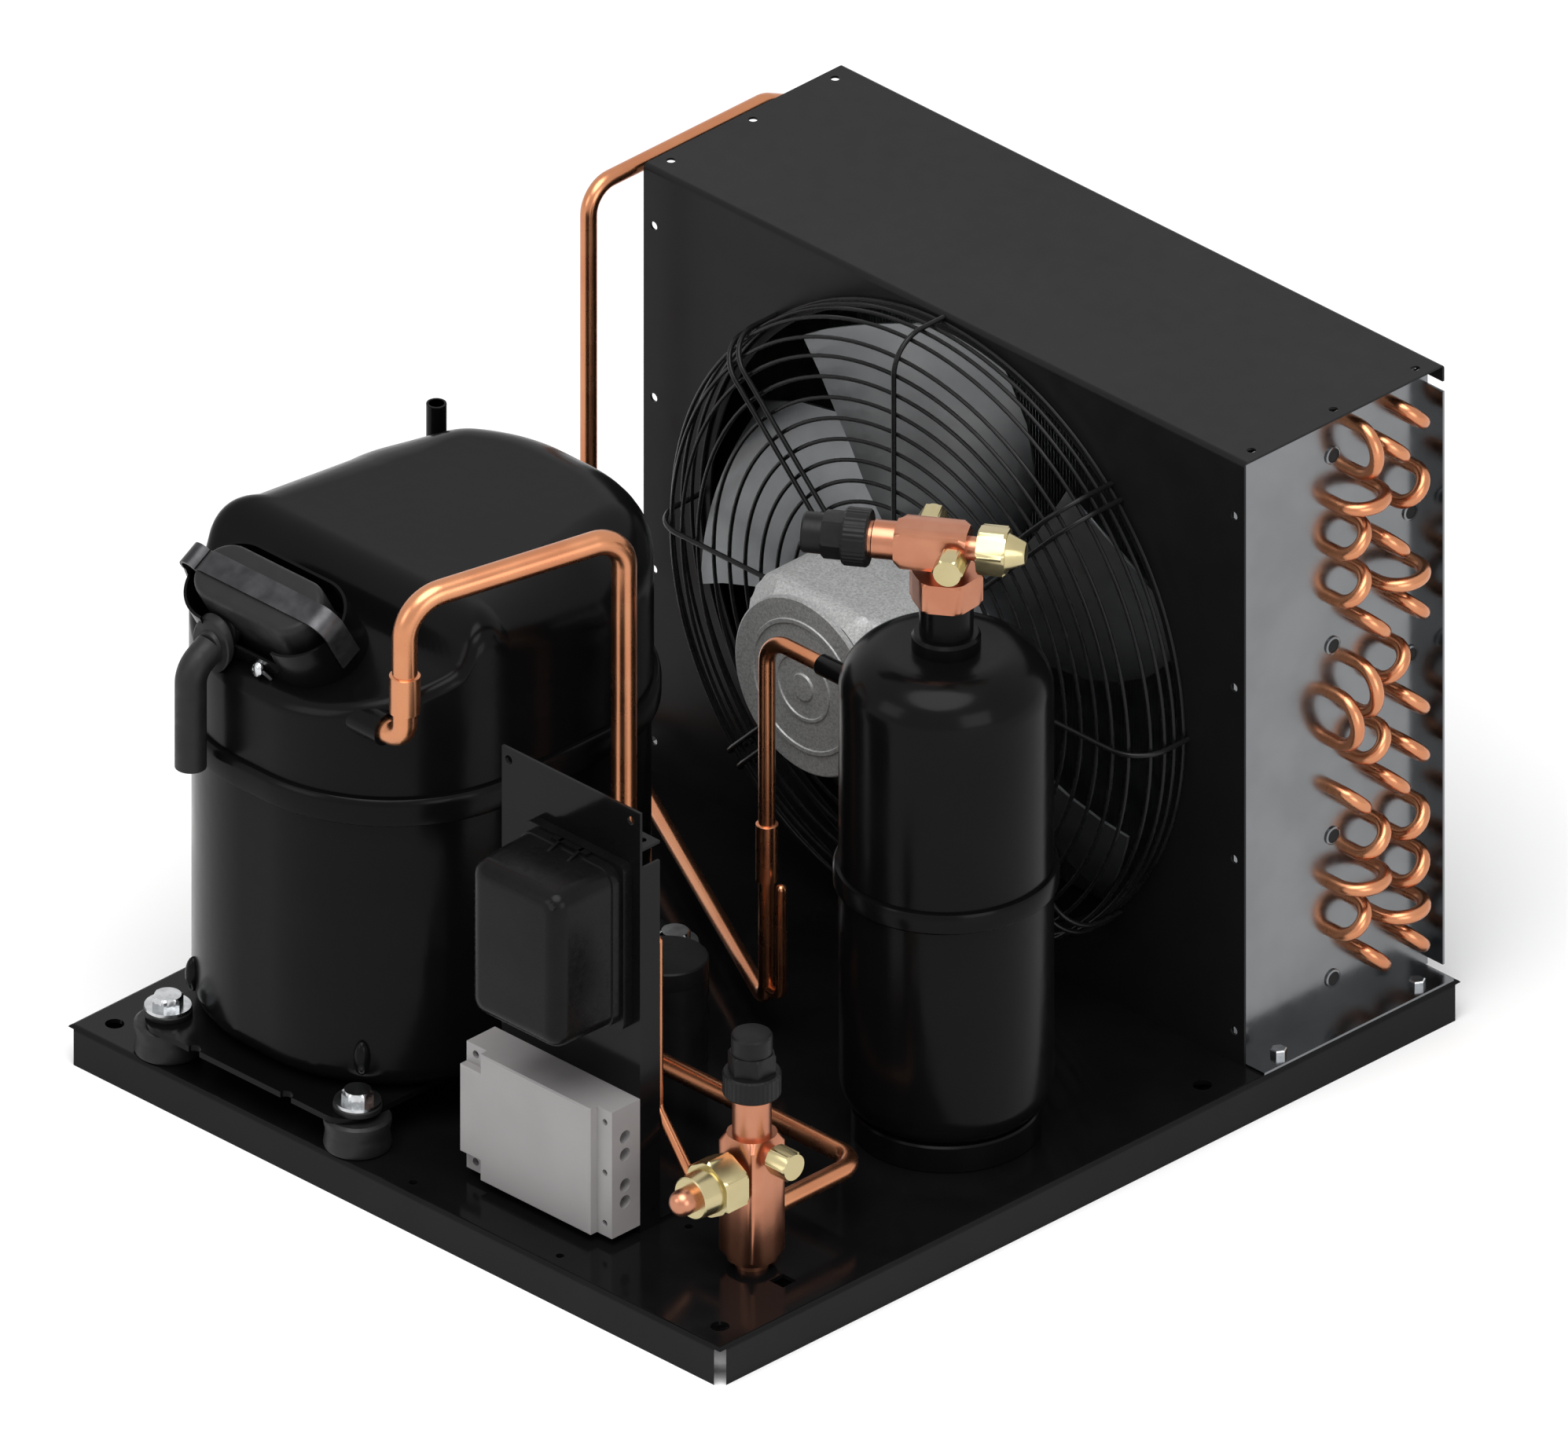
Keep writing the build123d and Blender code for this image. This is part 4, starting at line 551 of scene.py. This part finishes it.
rim_profile = [
    (1.0, 186.0), (3.6, 186.0), (4.5, 186.8), (4.7, 188.2),
    (4.7, 196.0), (4.2, 198.6), (3.0, 199.8), (1.0, 200.0),
]
rings = [shell_ring(grow, z) for grow, z in rim_profile]
fit(skin([rings], "shell_weld_rim", enamel), "unit", "black_shell", "compressor_weld_rim")

# Two pressed bumps beside the front feet.
bumps = []
for side in (-1, 1):
    centre = COMP + Vector((side * 55.1, -94.0, 60.0))
    profile = [(4.0 * cos(a), 9.0 * sin(a)) for a in (pi * (k / 12 - 0.5) for k in range(1, 12))]
    bumps.append(turned(centre, (0, 0, 1), profile, 24))
fit(skin(bumps, "shell_pressed_bumps", enamel), "unit", "black_shell")

# ------------------------------------------------------------------ compressor feet
# One flat plate welded under the shell stands on four rubber mounts.
# An M8 bolt with a plain washer runs down through each mount into the base plate.
coat(enamel, "compressor_foot_plate")

# Moulded rubber: matt, slightly grey with dust.
rubber, tree, shader, place = new_finish("moulded_rubber_matt", "131313", IOR=1.5, Specular_IOR_Level=0.25)
tint(tree, shader, place, 90.0, "111111", "171717")
roughen(tree, shader, place, 300.0, 0.42, 0.58)

# Zinc-plated steel: bright, cool, fine turning marks.
plated, tree, shader, place = new_finish("steel_zinc_plated_bright", "BFC1C3", Metallic=1.0)
tint(tree, shader, place, 250.0, "B4B6B8", "CACCCE")
roughen(tree, shader, place, 120.0, 0.18, 0.24)


def flat_bar(origin, axis, flats, levels, turn=0.0, sides=6):
    """Bar with flat sides as rings; each level is a height and the radius of its turned corners."""
    spread = radians(turn)
    profile = [(1.0, height) for height, limit in levels]

    def reach(a, i):
        return min(flats / 2 / cos((a - spread) % (2 * pi / sides) - pi / sides), levels[i][1])

    return turned(origin, axis, profile, 72, reach)


mount_profile = [
    (14.0, 20.5), (15.6, 21.1), (16.0, 22.6), (15.2, 28.0),
    (15.2, 30.0), (16.0, 34.0), (15.8, 35.8), (14.2, 37.0),
]
mount_cap_profile = [(11.2, 40.2), (11.5, 40.8), (11.5, 42.8), (10.8, 43.4)]
mounts, heads = [], []
for index in range(4):
    side_x, side_y = (-1, 1)[index // 2], (-1, 1)[index % 2]
    x, y = COMP.x + side_x * 62.05, COMP.y + side_y * 103.85
    mounts.append(turned((x, y, 0), (0, 0, 1), mount_profile, 48))
    mounts.append(turned((x, y, 0), (0, 0, 1), mount_cap_profile, 48))
    heads.append(flat_bar((x, y, 45.0), (0, 0, 1), 13.0, [(0, 7.5), (4.4, 7.5), (5.3, 6.3)], 20.0 * index))
fit(skin(mounts, "rubber_mounts", rubber), "unit", "black_rubber", "foot_grommets")
fit(skin(heads, "mount_bolt_heads", plated, 25.0), "unit", "bolt_steel", "foot_bolts")
coat(plated, "foot_washers")

# ------------------------------------------------------------------ terminal housing
# A sheet fence welded on the sloping floor surrounds the terminals, lower along its front.
# A rubber plug closes it and a spring strap holds the plug down, end to end.
coat(enamel, "terminal_fence")
TILT = radians(30.0)
UP_SLOPE, OUT = Vector((0, cos(TILT), sin(TILT))), Vector((0, -sin(TILT), cos(TILT)))
TERMINALS = Vector((-112.0, -156.0 - 52.2 * cos(TILT), 280.0 - 52.2 * sin(TILT)))


def on_slope(x, up, out):
    """Place on the terminal plane: along X, up the slope, and out from the plane."""
    return TERMINALS + Vector((x, 0, 0)) + UP_SLOPE * up + OUT * out


rings = []
for inset, out in ((0.0, 3.0), (0.0, 33.6), (0.3, 35.3), (1.1, 36.5), (2.2, 37.1), (3.4, 37.2)):
    rings.append([on_slope(x, up, out) for x, up in oblong(37.0 - inset, 15.5 - inset, 14.2 - inset, 12)])
plug = skin([rings], "terminal_plug", rubber)
fit(plug, "unit", "black_rubber", "terminal_cover")


def ribbon(path, width, thick):
    """Flat strip as rings along a path of (x, out) places on the terminal plane."""
    rings = []
    for i, (x, out) in enumerate(path):
        ax, aout = path[max(0, i - 1)]
        bx, bout = path[min(len(path) - 1, i + 1)]
        length = hypot(bx - ax, bout - aout)
        nx, nout = -(bout - aout) / length * thick / 2, (bx - ax) / length * thick / 2
        corners = ((1, 1), (1, -1), (-1, -1), (-1, 1))
        rings.append([on_slope(x + s * nx, w * width / 2, out + s * nout) for w, s in corners])
    return rings


# Sprung steel strip, blackened, with a worn sheen.
spring, tree, shader, place = new_finish("spring_steel_blackened", "3A3A3C", Metallic=0.8)
tint(tree, shader, place, 70.0, "303032", "464648")
roughen(tree, shader, place, 300.0, 0.28, 0.42)
path = [(-46.8, 8.2), (-46.8, 24.0), (-46.0, 28.0)]
path += [(-41.0 - 5.2 * cos(a), 34.0 + 4.6 * sin(a)) for a in (pi * k / 10 for k in range(-2, 10))]
path += [(-35.0, 36.6), (-31.0, 38.0), (-10.0, 38.0), (12.0, 38.0)]
path += [(37.0 + 9.8 * sin(a), 28.1 + 9.7 * cos(a)) for a in (pi / 2 * k / 8 for k in range(9))]
path += [(46.8, 22.0), (46.8, 8.2)]
strap = skin([ribbon(path, 12.0, 1.3)], "terminal_spring_strap", spring, 30.0)
fit(strap, "unit", "bolt_steel", "terminal_strap")

# Bright clamp screw and its spring ring, low on the fence beside the gland.
clamp = on_slope(8.0, -24.2, 8.5)
screw = turned(clamp, -UP_SLOPE, [(3.3, 0), (3.4, 0.4), (3.4, 2.0), (2.4, 3.0), (0.6, 3.2)], 32)
fit(skin([screw], "terminal_clamp_screw", plated), "unit", "bolt_steel")
turns = [2 * pi * k / 24 for k in range(24)]
circle = [on_slope(8.0 + 6.0 * cos(a), -25.2, 2.0 + 6.0 * sin(a)) for a in turns]
ring = swept(circle + [circle[0], circle[1]], 1.0, 10)[1:-1]
fit(skin([ring], "terminal_clamp_ring", spring), "unit", "bolt_steel")

# Cable gland: ribbed rubber neck and a flange disc on the low side, then a plain elbow down.
DOWN = -UP_SLOPE
GLAND = Vector((-130.1, -230.3, 253.2))
neck_profile = []
for rib in range(3):
    h = -11.0 + rib * 3.0
    neck_profile += [(8.2, h), (9.6, h + 0.6), (9.6, h + 1.8), (8.2, h + 2.4)]
flange_profile = [(12.6, -2.5), (13.5, -1.8), (13.5, 1.8), (12.8, 2.5), (8.6, 2.6), (8.6, 4.6), (7.6, 5.0)]
gland = skin([turned(GLAND, DOWN, neck_profile + flange_profile, 56)], "cable_gland_ribbed", rubber)
fit(gland, "unit", "black_plastic", "cable_gland")


def bent(points, bends, steps=8):
    """Line of points with a tangent arc at each corner; bends is one radius or one per corner."""
    points = [Vector(p) for p in points]
    radii = bends if isinstance(bends, list) else [bends] * (len(points) - 2)
    line = [points[0]]
    for before, corner, after, radius in zip(points, points[1:], points[2:], radii):
        back, ahead = (before - corner).normalized(), (after - corner).normalized()
        half = back.angle(ahead) / 2
        centre = corner + (back + ahead).normalized() * (radius / sin(half))
        first = corner + back * (radius / tan(half)) - centre
        last = corner + ahead * (radius / tan(half)) - centre
        swing = first.angle(last)
        for k in range(steps + 1):
            t = k / steps
            line.append(centre + (first * sin((1 - t) * swing) + last * sin(t * swing)) / sin(swing))
    line.append(points[-1])
    return line


elbow_corner = GLAND + DOWN * 17.3
elbow = bent([GLAND + DOWN * 2.4, elbow_corner, (elbow_corner.x, elbow_corner.y, 193.4)], 12.0, 10)
fit(skin([swept(elbow, 7.5, 40)], "conduit_elbow_tube", rubber), "unit", "black_plastic", "conduit_elbow")

# Open process tube, bent up out of the shell behind the ridge.
tube = bent([(-167.1, -45.8, 229.5), (-179.1, -35.5, 229.5), (-179.1, -35.5, 281.4)], 6.0)
stub = swept(tube, 4.8, 28)
end = turned((-179.1, -35.5, 281.4), (0, 0, 1), [(4.8, 0), (4.7, 0.3), (3.7, 0.3), (3.7, -14.0)], 28)
fit(skin([stub, end], "process_tube", enamel), "unit", "black_shell", "process_stub")
coat(enamel, "suction_socket")

# ------------------------------------------------------------------ receiver
# Upright steel tank of two drawn cups with a raised weld seam, standing in a rolled foot ring.
# The same baked enamel as the compressor.
RECEIVER = (141.0, -22.0, 0)
quarter = [pi / 2 * k / 10 for k in range(11)]
profile = [(30.0, 31.0)] + [(30.0 + 20.0 * sin(a), 51.0 - 20.0 * cos(a)) for a in quarter]
profile += [(28.0 + 22.0 * cos(a), 255.0 + 22.0 * sin(a)) for a in quarter]
tank = skin([turned(RECEIVER, (0, 0, 1), profile, 96)], "receiver_cups", enamel)
fit(tank, "unit", "black_shell", "receiver_tank")
profile = [(49.5, 152.0), (51.6, 152.2), (52.6, 153.4), (52.6, 161.4), (51.8, 162.6), (49.5, 163.0)]
seam = skin([turned(RECEIVER, (0, 0, 1), profile, 96)], "receiver_weld_band", enamel)
fit(seam, "unit", "black_shell", "receiver_seam")
profile = [(43.6, 20.5), (44.2, 21.0), (44.2, 33.4), (43.4, 34.4), (41.2, 34.6), (41.2, 20.5)]
foot = skin([turned(RECEIVER, (0, 0, 1), profile, 96)], "receiver_foot_ring", enamel)
fit(foot, "unit", "black_shell", "receiver_foot")
profile = [(16.2, 276.4), (16.2, 283.4), (15.0, 285.0), (12.7, 285.2), (12.7, 302.0)]
neck = skin([turned(RECEIVER, (0, 0, 1), profile, 56)], "receiver_neck_boss", enamel)
fit(neck, "unit", "black_shell", "receiver_neck")
profile = [(5.2, -6.0), (5.2, 31.4), (4.8, 32.0)]
inlet = turned((91.0, -22.0, 234.0), (-1, 0, 0), profile, 32)
fit(skin([inlet], "receiver_inlet_socket", enamel), "unit", "black_shell", "receiver_inlet")

# ------------------------------------------------------------------ valves
# Forged brass, copper coloured after plating: a square block with a stem at one end, a flare
# nut at the other and small plugs in its sides. Both units carry the same plastic stem cap.
forging, tree, shader, place = new_finish("forged_copper_alloy", "C98C6E", Metallic=1.0)
tint(tree, shader, place, 50.0, "B0745A", "B97F64")
roughen(tree, shader, place, 90.0, 0.27, 0.33)

# Turned brass: yellow, bright on the flats.
brass, tree, shader, place = new_finish("brass_turned_satin", "C9BC92", Metallic=1.0)
tint(tree, shader, place, 50.0, "B5A87D", "BEB188")
roughen(tree, shader, place, 90.0, 0.22, 0.28)

# Moulded cap plastic: dark, satin, soft highlights.
cap_plastic, tree, shader, place = new_finish(
    "moulded_plastic_black_satin", "121213", IOR=1.5, Specular_IOR_Level=0.16
)
tint(tree, shader, place, 80.0, "101011", "151516")
roughen(tree, shader, place, 400.0, 0.34, 0.46)

VALVE_AXIS = Vector((cos(radians(33.7)), sin(radians(33.7)), 0))
VALVE_SIDE = Vector((-VALVE_AXIS.y, VALVE_AXIS.x, 0))
VALVE = Vector((141.0, -22.0, 330.6))
STEM_ROOT = VALVE - VALVE_AXIS * 23.4
SERVICE = Vector((167.4, -175.6, 0))
SERVICE_TOP = SERVICE + Vector((0, 0, 91.0))


def stem_rings(root, axis, visible):
    """Stem with its collar and the threads that the cap screws on."""
    profile = [(9.2, -1.0), (9.2, visible - 2.0), (8.4, visible - 1.4), (8.4, visible)]
    for turn in range(5):
        h = visible + 0.4 + turn * 1.5
        profile += [(8.5, h), (9.2, h + 0.7)]
    profile.append((8.2, visible + 8.0))
    return turned(root, axis, profile, 48)


def cap_rings(root, axis, visible):
    """Cap: knurled skirt, hexagon with turned corners, then a plain round top with a soft edge."""
    base = Vector(root) + Vector(axis) * visible

    def knurl(a, i):
        return 1 + 0.018 * abs(((a * 36 / pi) % 2) - 1) if 2 <= i <= 3 else 1.0

    skirt = [(9.6, 0.0), (13.1, 0.1), (13.55, 0.9), (13.55, 11.0), (13.0, 12.0), (9.0, 12.0)]
    hexa = flat_bar(base, axis, 20.0, [(11.8, 11.5), (21.0, 11.5), (22.0, 10.4)], 30.0)
    top = [(9.7, 21.8), (9.7, 30.6), (9.1, 31.6), (7.8, 32.0)]
    return [turned(base, axis, skirt, 288, knurl), hexa, turned(base, axis, top, 56)]


def spindle_rings(root, axis, visible):
    """Spindle: round, with a square end for the key."""
    base = Vector(root) + Vector(axis) * (visible - 3)
    square = flat_bar(base, axis, 6.3, [(13.0, 4.4), (23.0, 4.4)], 45.0, 4)
    return [turned(base, axis, [(4.45, 0), (4.45, 14.0)], 32), square]


def nut_with_cone(root, axis, neck, flats, length, cone_r, cone_l, turn):
    """Flare nut on its neck: hexagon turned back at both ends, then a cone."""
    corner = flats / 3 ** 0.5
    end = neck + length
    tip = neck + length + cone_l
    levels = [(neck, corner - 0.9), (neck + 0.9, corner), (neck + length - 1.2, corner), (end, corner - 1.3)]
    cone = [(flats / 2 - 1.6, end), (cone_r, tip - 0.6), (cone_r - 0.6, tip)]
    return [flat_bar(root, axis, flats, levels, turn), turned(root, axis, cone, 64)]


levels = [(0, 10.6), (3.2, 13.2), (30.8, 13.2), (34.0, 10.6)]
block = flat_bar(VALVE - VALVE_AXIS * 23.4, VALVE_AXIS, 19.4, levels, 45.0, 4)
foot = turned((141.0, -22.0, 317.0), (0, 0, 1), [(9.5, 0.0), (9.5, 6.0)], 48)
pieces = [block, foot, stem_rings(STEM_ROOT, -VALVE_AXIS, 12.4)]
fit(skin(pieces, "receiver_valve_forging", forging), "unit", "copper", "receiver_valve_body")
levels = [(302.0, 16.2), (303.2, 17.3), (315.6, 17.3), (317.0, 15.9)]
union = flat_bar((141.0, -22.0, 0), (0, 0, 1), 30.0, levels, 35.0)
fit(skin([union], "receiver_union_hexagon", forging, 25.0), "unit", "copper", "receiver_union_nut")
cap = skin(cap_rings(STEM_ROOT, -VALVE_AXIS, 12.4), "receiver_cap_moulding", cap_plastic, 30.0)
fit(cap, "receiver_cap", "black_plastic", "receiver_valve_cap")
spindle = skin(spindle_rings(STEM_ROOT, -VALVE_AXIS, 12.4), "receiver_key_spindle", brass)
fit(spindle, "receiver_spindle", "brass", "receiver_valve_spindle")
flare_root = VALVE + VALVE_AXIS * 10.6
rings = nut_with_cone(flare_root, VALVE_AXIS, 5.0, 21.0, 13.6, 5.5, 8.5, 20.0)
nut = skin(rings, "receiver_flare_hexagon", brass, 25.0)
fit(nut, "unit", "brass", "receiver_flare_nut")

levels = [(24.6, 11.8), (28.6, 15.2), (87.0, 15.2), (91.0, 11.8)]
block = flat_bar(SERVICE, (0, 0, 1), 22.5, levels, 45.0, 4)
foot = turned(SERVICE, (0, 0, 1), [(8.0, 20.5), (8.0, 25.0)], 40)
pieces = [block, foot, stem_rings(SERVICE_TOP, (0, 0, 1), 21.0)]
fit(skin(pieces, "service_valve_forging", forging), "unit", "copper", "service_valve_body")
cap = skin(cap_rings(SERVICE_TOP, (0, 0, 1), 21.0), "service_cap_moulding", cap_plastic, 30.0)
fit(cap, "service_cap", "black_plastic", "service_valve_cap")
spindle = skin(spindle_rings(SERVICE_TOP, (0, 0, 1), 21.0), "service_key_spindle", brass)
fit(spindle, "service_spindle", "brass", "service_valve_spindle")
flare_root = SERVICE + Vector((0, -11.25, 71.5))
rings = nut_with_cone(flare_root, (0, -1, 0), 3.6, 26.0, 14.6, 10.5, 11.0, 0.0)
nut = skin(rings, "service_flare_hexagon", brass, 25.0)
fit(nut, "unit", "brass", "service_flare_nut")
quarter = [pi / 2 * k / 8 for k in range(9)]
profile = [(6.5, 29.0), (6.5, 34.0)] + [(0.5 + 6.0 * cos(a), 34.2 + 6.0 * sin(a)) for a in quarter]
bonnet = turned(flare_root, (0, -1, 0), profile, 48)
fit(skin([bonnet], "service_blank_end", forging), "unit", "copper", "service_bonnet")

necks = [
    turned(VALVE + VALVE_AXIS * 10.6, VALVE_AXIS, [(5.75, -0.5), (5.75, 5.2)], 40),
    turned(flare_root, (0, -1, 0), [(8.0, -0.5), (8.0, 3.8)], 40),
]
plugs = []
# Side faces that carry a plug: the receiver valve's two, as on its solids, then the service valve's.
sides = [
    (VALVE - VALVE_AXIS * 10.8 + VALVE_SIDE * 9.7, VALVE_SIDE),
    (VALVE + VALVE_AXIS * 5.5 - VALVE_SIDE * 9.7, -VALVE_SIDE),
    (SERVICE + Vector((11.25, 0, 83.0)), Vector((1, 0, 0))),
]
for root, axis in sides:
    necks.append(turned(root, axis, [(5.3, -0.5), (5.3, 4.2)], 32))
    plugs.append(flat_bar(root, axis, 13.0, [(4.0, 6.9), (4.6, 7.5), (15.6, 7.5), (16.5, 6.5)], 30.0))
fit(skin(necks, "valve_neck_rings", forging), "unit", "copper", "valve_necks")
fit(skin(plugs, "valve_plug_hexagons", brass, 25.0), "unit", "brass", "valve_plugs")

# ------------------------------------------------------------------ copper lines
# Soft drawn copper tube bent by hand, brazed at the sockets; the darker collar at each joint is not drawn.
route = [
    (31.2, -105.0, 46.0), (13.2, -105.0, 46.0), (13.2, -105.0, 318.4),
    (-21.5, -213.8, 311.8), (-21.5, -213.8, 239.5), (-34.5, -213.8, 239.5),
]
suction = swept(bent(route, [14.0, 15.0, 20.0, 9.0], 12), 6.0, 32)
fit(skin([suction], "suction_tube", copper), "unit", "copper", "suction_line")
route = [(31.2, -105.0, 46.0), (167.4, -105.0, 46.0), (167.4, -164.0, 46.0)]
lower = swept(bent(route, 13.0, 10), 4.8, 28)
fit(skin([lower], "suction_deck_tube", copper), "unit", "copper", "suction_lower_line")

outlet_y, outlet_z = tube_place(4, 11)
inlet_y, inlet_z = tube_place(4, 0)
LEFT_X = COIL_X - PLATE_REACH
route = [
    (60.0, -22.0, 234.0), (23.7, -22.0, 234.0), (23.7, -22.0, 38.7),
    (-208.8, -22.0 + 232.5 * 0.5514, 38.7), (-208.8, outlet_y, outlet_z), (LEFT_X, outlet_y, outlet_z),
]
liquid = swept(bent(route, [13.0, 11.0, 14.0, 10.0], 10), 4.0, 28)
fit(skin([liquid], "liquid_tube", copper), "unit", "copper", "liquid_line")
route = [
    (-148.0, -44.5, 110.0), (-148.0, 35.0, 110.0), (-200.0, 85.0, 110.0), (-200.0, 85.0, 338.5),
    (-200.0, inlet_y - 17.6, 338.5), (-200.0, inlet_y, inlet_z), (LEFT_X, inlet_y, inlet_z),
]
discharge = swept(bent(route, [14.0, 14.0, 14.0, 14.0, 7.0], 10), 4.0, 28)
fit(skin([discharge], "discharge_tube", copper), "unit", "copper", "discharge_line")

# Swaged couplings and the thin charging tubes, their ends closed and rounded over.
sleeves = [
    turned((-21.5, -213.8, 0), (0, 0, 1), [(6.1, 253.6), (7.3, 254.2), (7.3, 273.4), (6.1, 274.0)], 40),
    turned((23.7, -22.0, 0), (0, 0, 1), [(4.1, 103.8), (5.3, 104.4), (5.3, 134.2), (4.1, 134.8)], 36),
]
fit(skin(sleeves, "swaged_couplings", copper), "unit", "copper", "line_couplings")
routes = [
    [(105.7, -175.6, 167.9), (105.7, -175.6, 79.0), (128.5, -175.6, 49.5), (156.4, -175.6, 49.5)],
    [(35.5, -24.5, 105.0), (35.5, -24.5, 47.0), (23.7, -22.0, 47.0)],
]
tubes = [swept(bent(route, bend, 8), 2.6, 20) for route, bend in zip(routes, (8.0, 6.0))]
ends = [routes[0][0], routes[1][0]]
profile = [(2.6 * cos(a), 2.4 * sin(a)) for a in (pi / 2 * k / 6 for k in range(7))]
tubes += [turned(end, (0, 0, 1), profile, 20) for end in ends]
fit(skin(tubes, "charging_tubes", copper), "unit", "copper", "capped_stubs")

# ------------------------------------------------------------------ bracket and electrical parts
# A folded steel bracket screwed to the deck carries the start relay and the terminal box.
# The relay's lid snaps over its base; the box is grey moulded plastic with its own cover.
coat(powder_coat, "bracket")
coat(plated, "bracket_screw", "end_plate_screws")

# Glossy moulding: dark, with crisp lights along its round edges.
relay_plastic, tree, shader, place = new_finish(
    "moulded_plastic_black_gloss", "0A0A0B", IOR=1.5, Specular_IOR_Level=0.1
)
tint(tree, shader, place, 60.0, "0C0C0D", "101011")
roughen(tree, shader, place, 300.0, 0.2, 0.3)
dimple(tree, shader, place, 1500.0, 0.05, 0.0002)
coat(relay_plastic, "relay_base")

LID_X, LID_BACK_Y, LID_Z = 73.5, -192.4, 171.8
rings = []
lid_profile = [(5.6, 0.0), (10.6, 0.0), (10.9, 0.8), (38.2, 1.4)]
quarter = [pi / 2 * k / 8 for k in range(1, 9)]
lid_profile += [(38.2 + 8.0 * sin(a), 1.4 + 8.0 * (1 - cos(a))) for a in quarter]
for out, inset in lid_profile:
    plan = oblong(30.6 - inset, 42.6 - inset, max(1.5, 8.5 - inset * 0.6), 10)
    rings.append([Vector((LID_X + a, LID_BACK_Y - out, LID_Z + b)) for a, b in plan])
pieces = [rings]
for side in (-1, 1):
    x = LID_X + side * 6.5
    rib = [(6.0, 212.0), (21.0, 212.0), (9.0, 216.0), (6.0, 216.0)]
    pieces.append([[Vector((x + w, LID_BACK_Y - o, z)) for o, z in rib] for w in (-0.8, 0.8)])
bridge = [(6.0, 213.2), (9.4, 213.2), (9.4, 216.0), (6.0, 216.0)]
pieces.append([[Vector((x, LID_BACK_Y - o, z)) for o, z in bridge] for x in (62.0, 85.0)])
pieces.append(turned((98.0, -236.2, 208.0), (0, -1, 0), [(2.0, 0.0), (2.0, 1.6), (1.2, 1.6)], 24))
fit(skin(pieces, "relay_lid_moulding", relay_plastic), "unit", "black_plastic", "relay_lid")

# Grey ABS: even, satin, slightly warm.
box_plastic, tree, shader, place = new_finish(
    "moulded_plastic_grey_satin", "949191", IOR=1.5, Specular_IOR_Level=0.4
)
tint(tree, shader, place, 20.0, "918E8E", "989595")
roughen(tree, shader, place, 500.0, 0.36, 0.46)
coat(box_plastic, "control_box_base", "control_box_cover")

# Run capacitor: a plain can with a slightly wider lid, standing on the deck behind the bracket.
CAPACITOR = (2.6, -65.4, 0)
can = turned(CAPACITOR, (0, 0, 1), [(18.4, 20.5), (18.4, 63.7)], 64)
profile = [(18.6, 63.7), (18.7, 64.2), (18.7, 72.4), (18.0, 73.2), (16.6, 73.3)]
lid = turned(CAPACITOR, (0, 0, 1), profile, 64)
fit(skin([can, lid], "capacitor_can_and_lid", cap_plastic), "unit", "black_plastic", "capacitor")

# ------------------------------------------------------------------ setting
# Plain white paper floor under soft studio light, which keeps the unit's shadow.
# The air round it is white to the eye and in reflections, and lights the unit only faintly.
floor_paper, tree, shader, place = new_finish("studio_paper_white", "FFFFFF", Roughness=0.9)
tint(tree, shader, place, 3.0, "FCFCFC", "FFFFFF")
corners = [(-6, -6, 0), (6, -6, 0), (6, 6, 0), (-6, 6, 0)]
floor = object_from("studio_floor", corners, [[0, 1, 2, 3]], floor_paper)

world = bpy.data.worlds.new("studio_air")
bpy.context.scene.world = world
world.use_nodes = True
tree = world.node_tree
light = tree.nodes["Background"]
light.inputs["Color"].default_value = linear("FFFFFF")
light.inputs["Strength"].default_value = 0.3
seen = add(tree, "ShaderNodeBackground", {"Color": linear("FFFFFF"), "Strength": 1.0})
ray = add(tree, "ShaderNodeLightPath")
links = {0: ray.outputs["Is Glossy Ray"], 1: ray.outputs["Is Transmission Ray"]}
shiny = add(tree, "ShaderNodeMath", None, links, operation="MAXIMUM")
links = {0: ray.outputs["Is Camera Ray"], 1: shiny.outputs[0]}
sight = add(tree, "ShaderNodeMath", None, links, operation="MAXIMUM")
links = {0: sight.outputs[0], 1: light.outputs[0], 2: seen.outputs[0]}
blend = add(tree, "ShaderNodeMixShader", None, links)
tree.links.new(blend.outputs[0], tree.nodes["World Output"].inputs["Surface"])


def soft_lamp(name, kind, place, power, **fields):
    """Lamp aimed at the middle of the unit."""
    data = bpy.data.lights.new(name, kind)
    data.energy = power
    for key, value in fields.items():
        setattr(data, key, value)
    lamp = bpy.data.objects.new(name, data)
    lamp.location = place
    aim = Vector((0, 0, 0.15)) - Vector(place)
    lamp.rotation_euler = aim.to_track_quat("-Z", "Y").to_euler()
    bpy.context.scene.collection.objects.link(lamp)


soft_lamp("broad_sky", "SUN", (0.5, -0.9, 3.0), 2.7, angle=radians(50))
soft_lamp("lamp_right", "AREA", (2.6, -0.6, 1.0), 16.0, shape="SQUARE", size=1.4)
soft_lamp("lamp_front", "AREA", (-0.7, -2.6, 1.3), 10.0, shape="SQUARE", size=1.2)

# Seen from the front right, thirty degrees above the deck, without perspective.
camera_data = bpy.data.cameras.new("studio_camera")
camera_data.type = "ORTHO"
camera_data.ortho_scale = 0.72545
camera = bpy.data.objects.new("studio_camera", camera_data)
back = Vector((0.6124, -0.6124, 0.5))
camera.location = Vector((0.0064, 0.0103, 0.1677)) + back * 3.0
camera.rotation_euler = (-back).to_track_quat("-Z", "Y").to_euler()
bpy.context.scene.collection.objects.link(camera)
bpy.context.scene.camera = camera
bpy.context.scene.view_settings.view_transform = "Standard"

low, high = cad_box
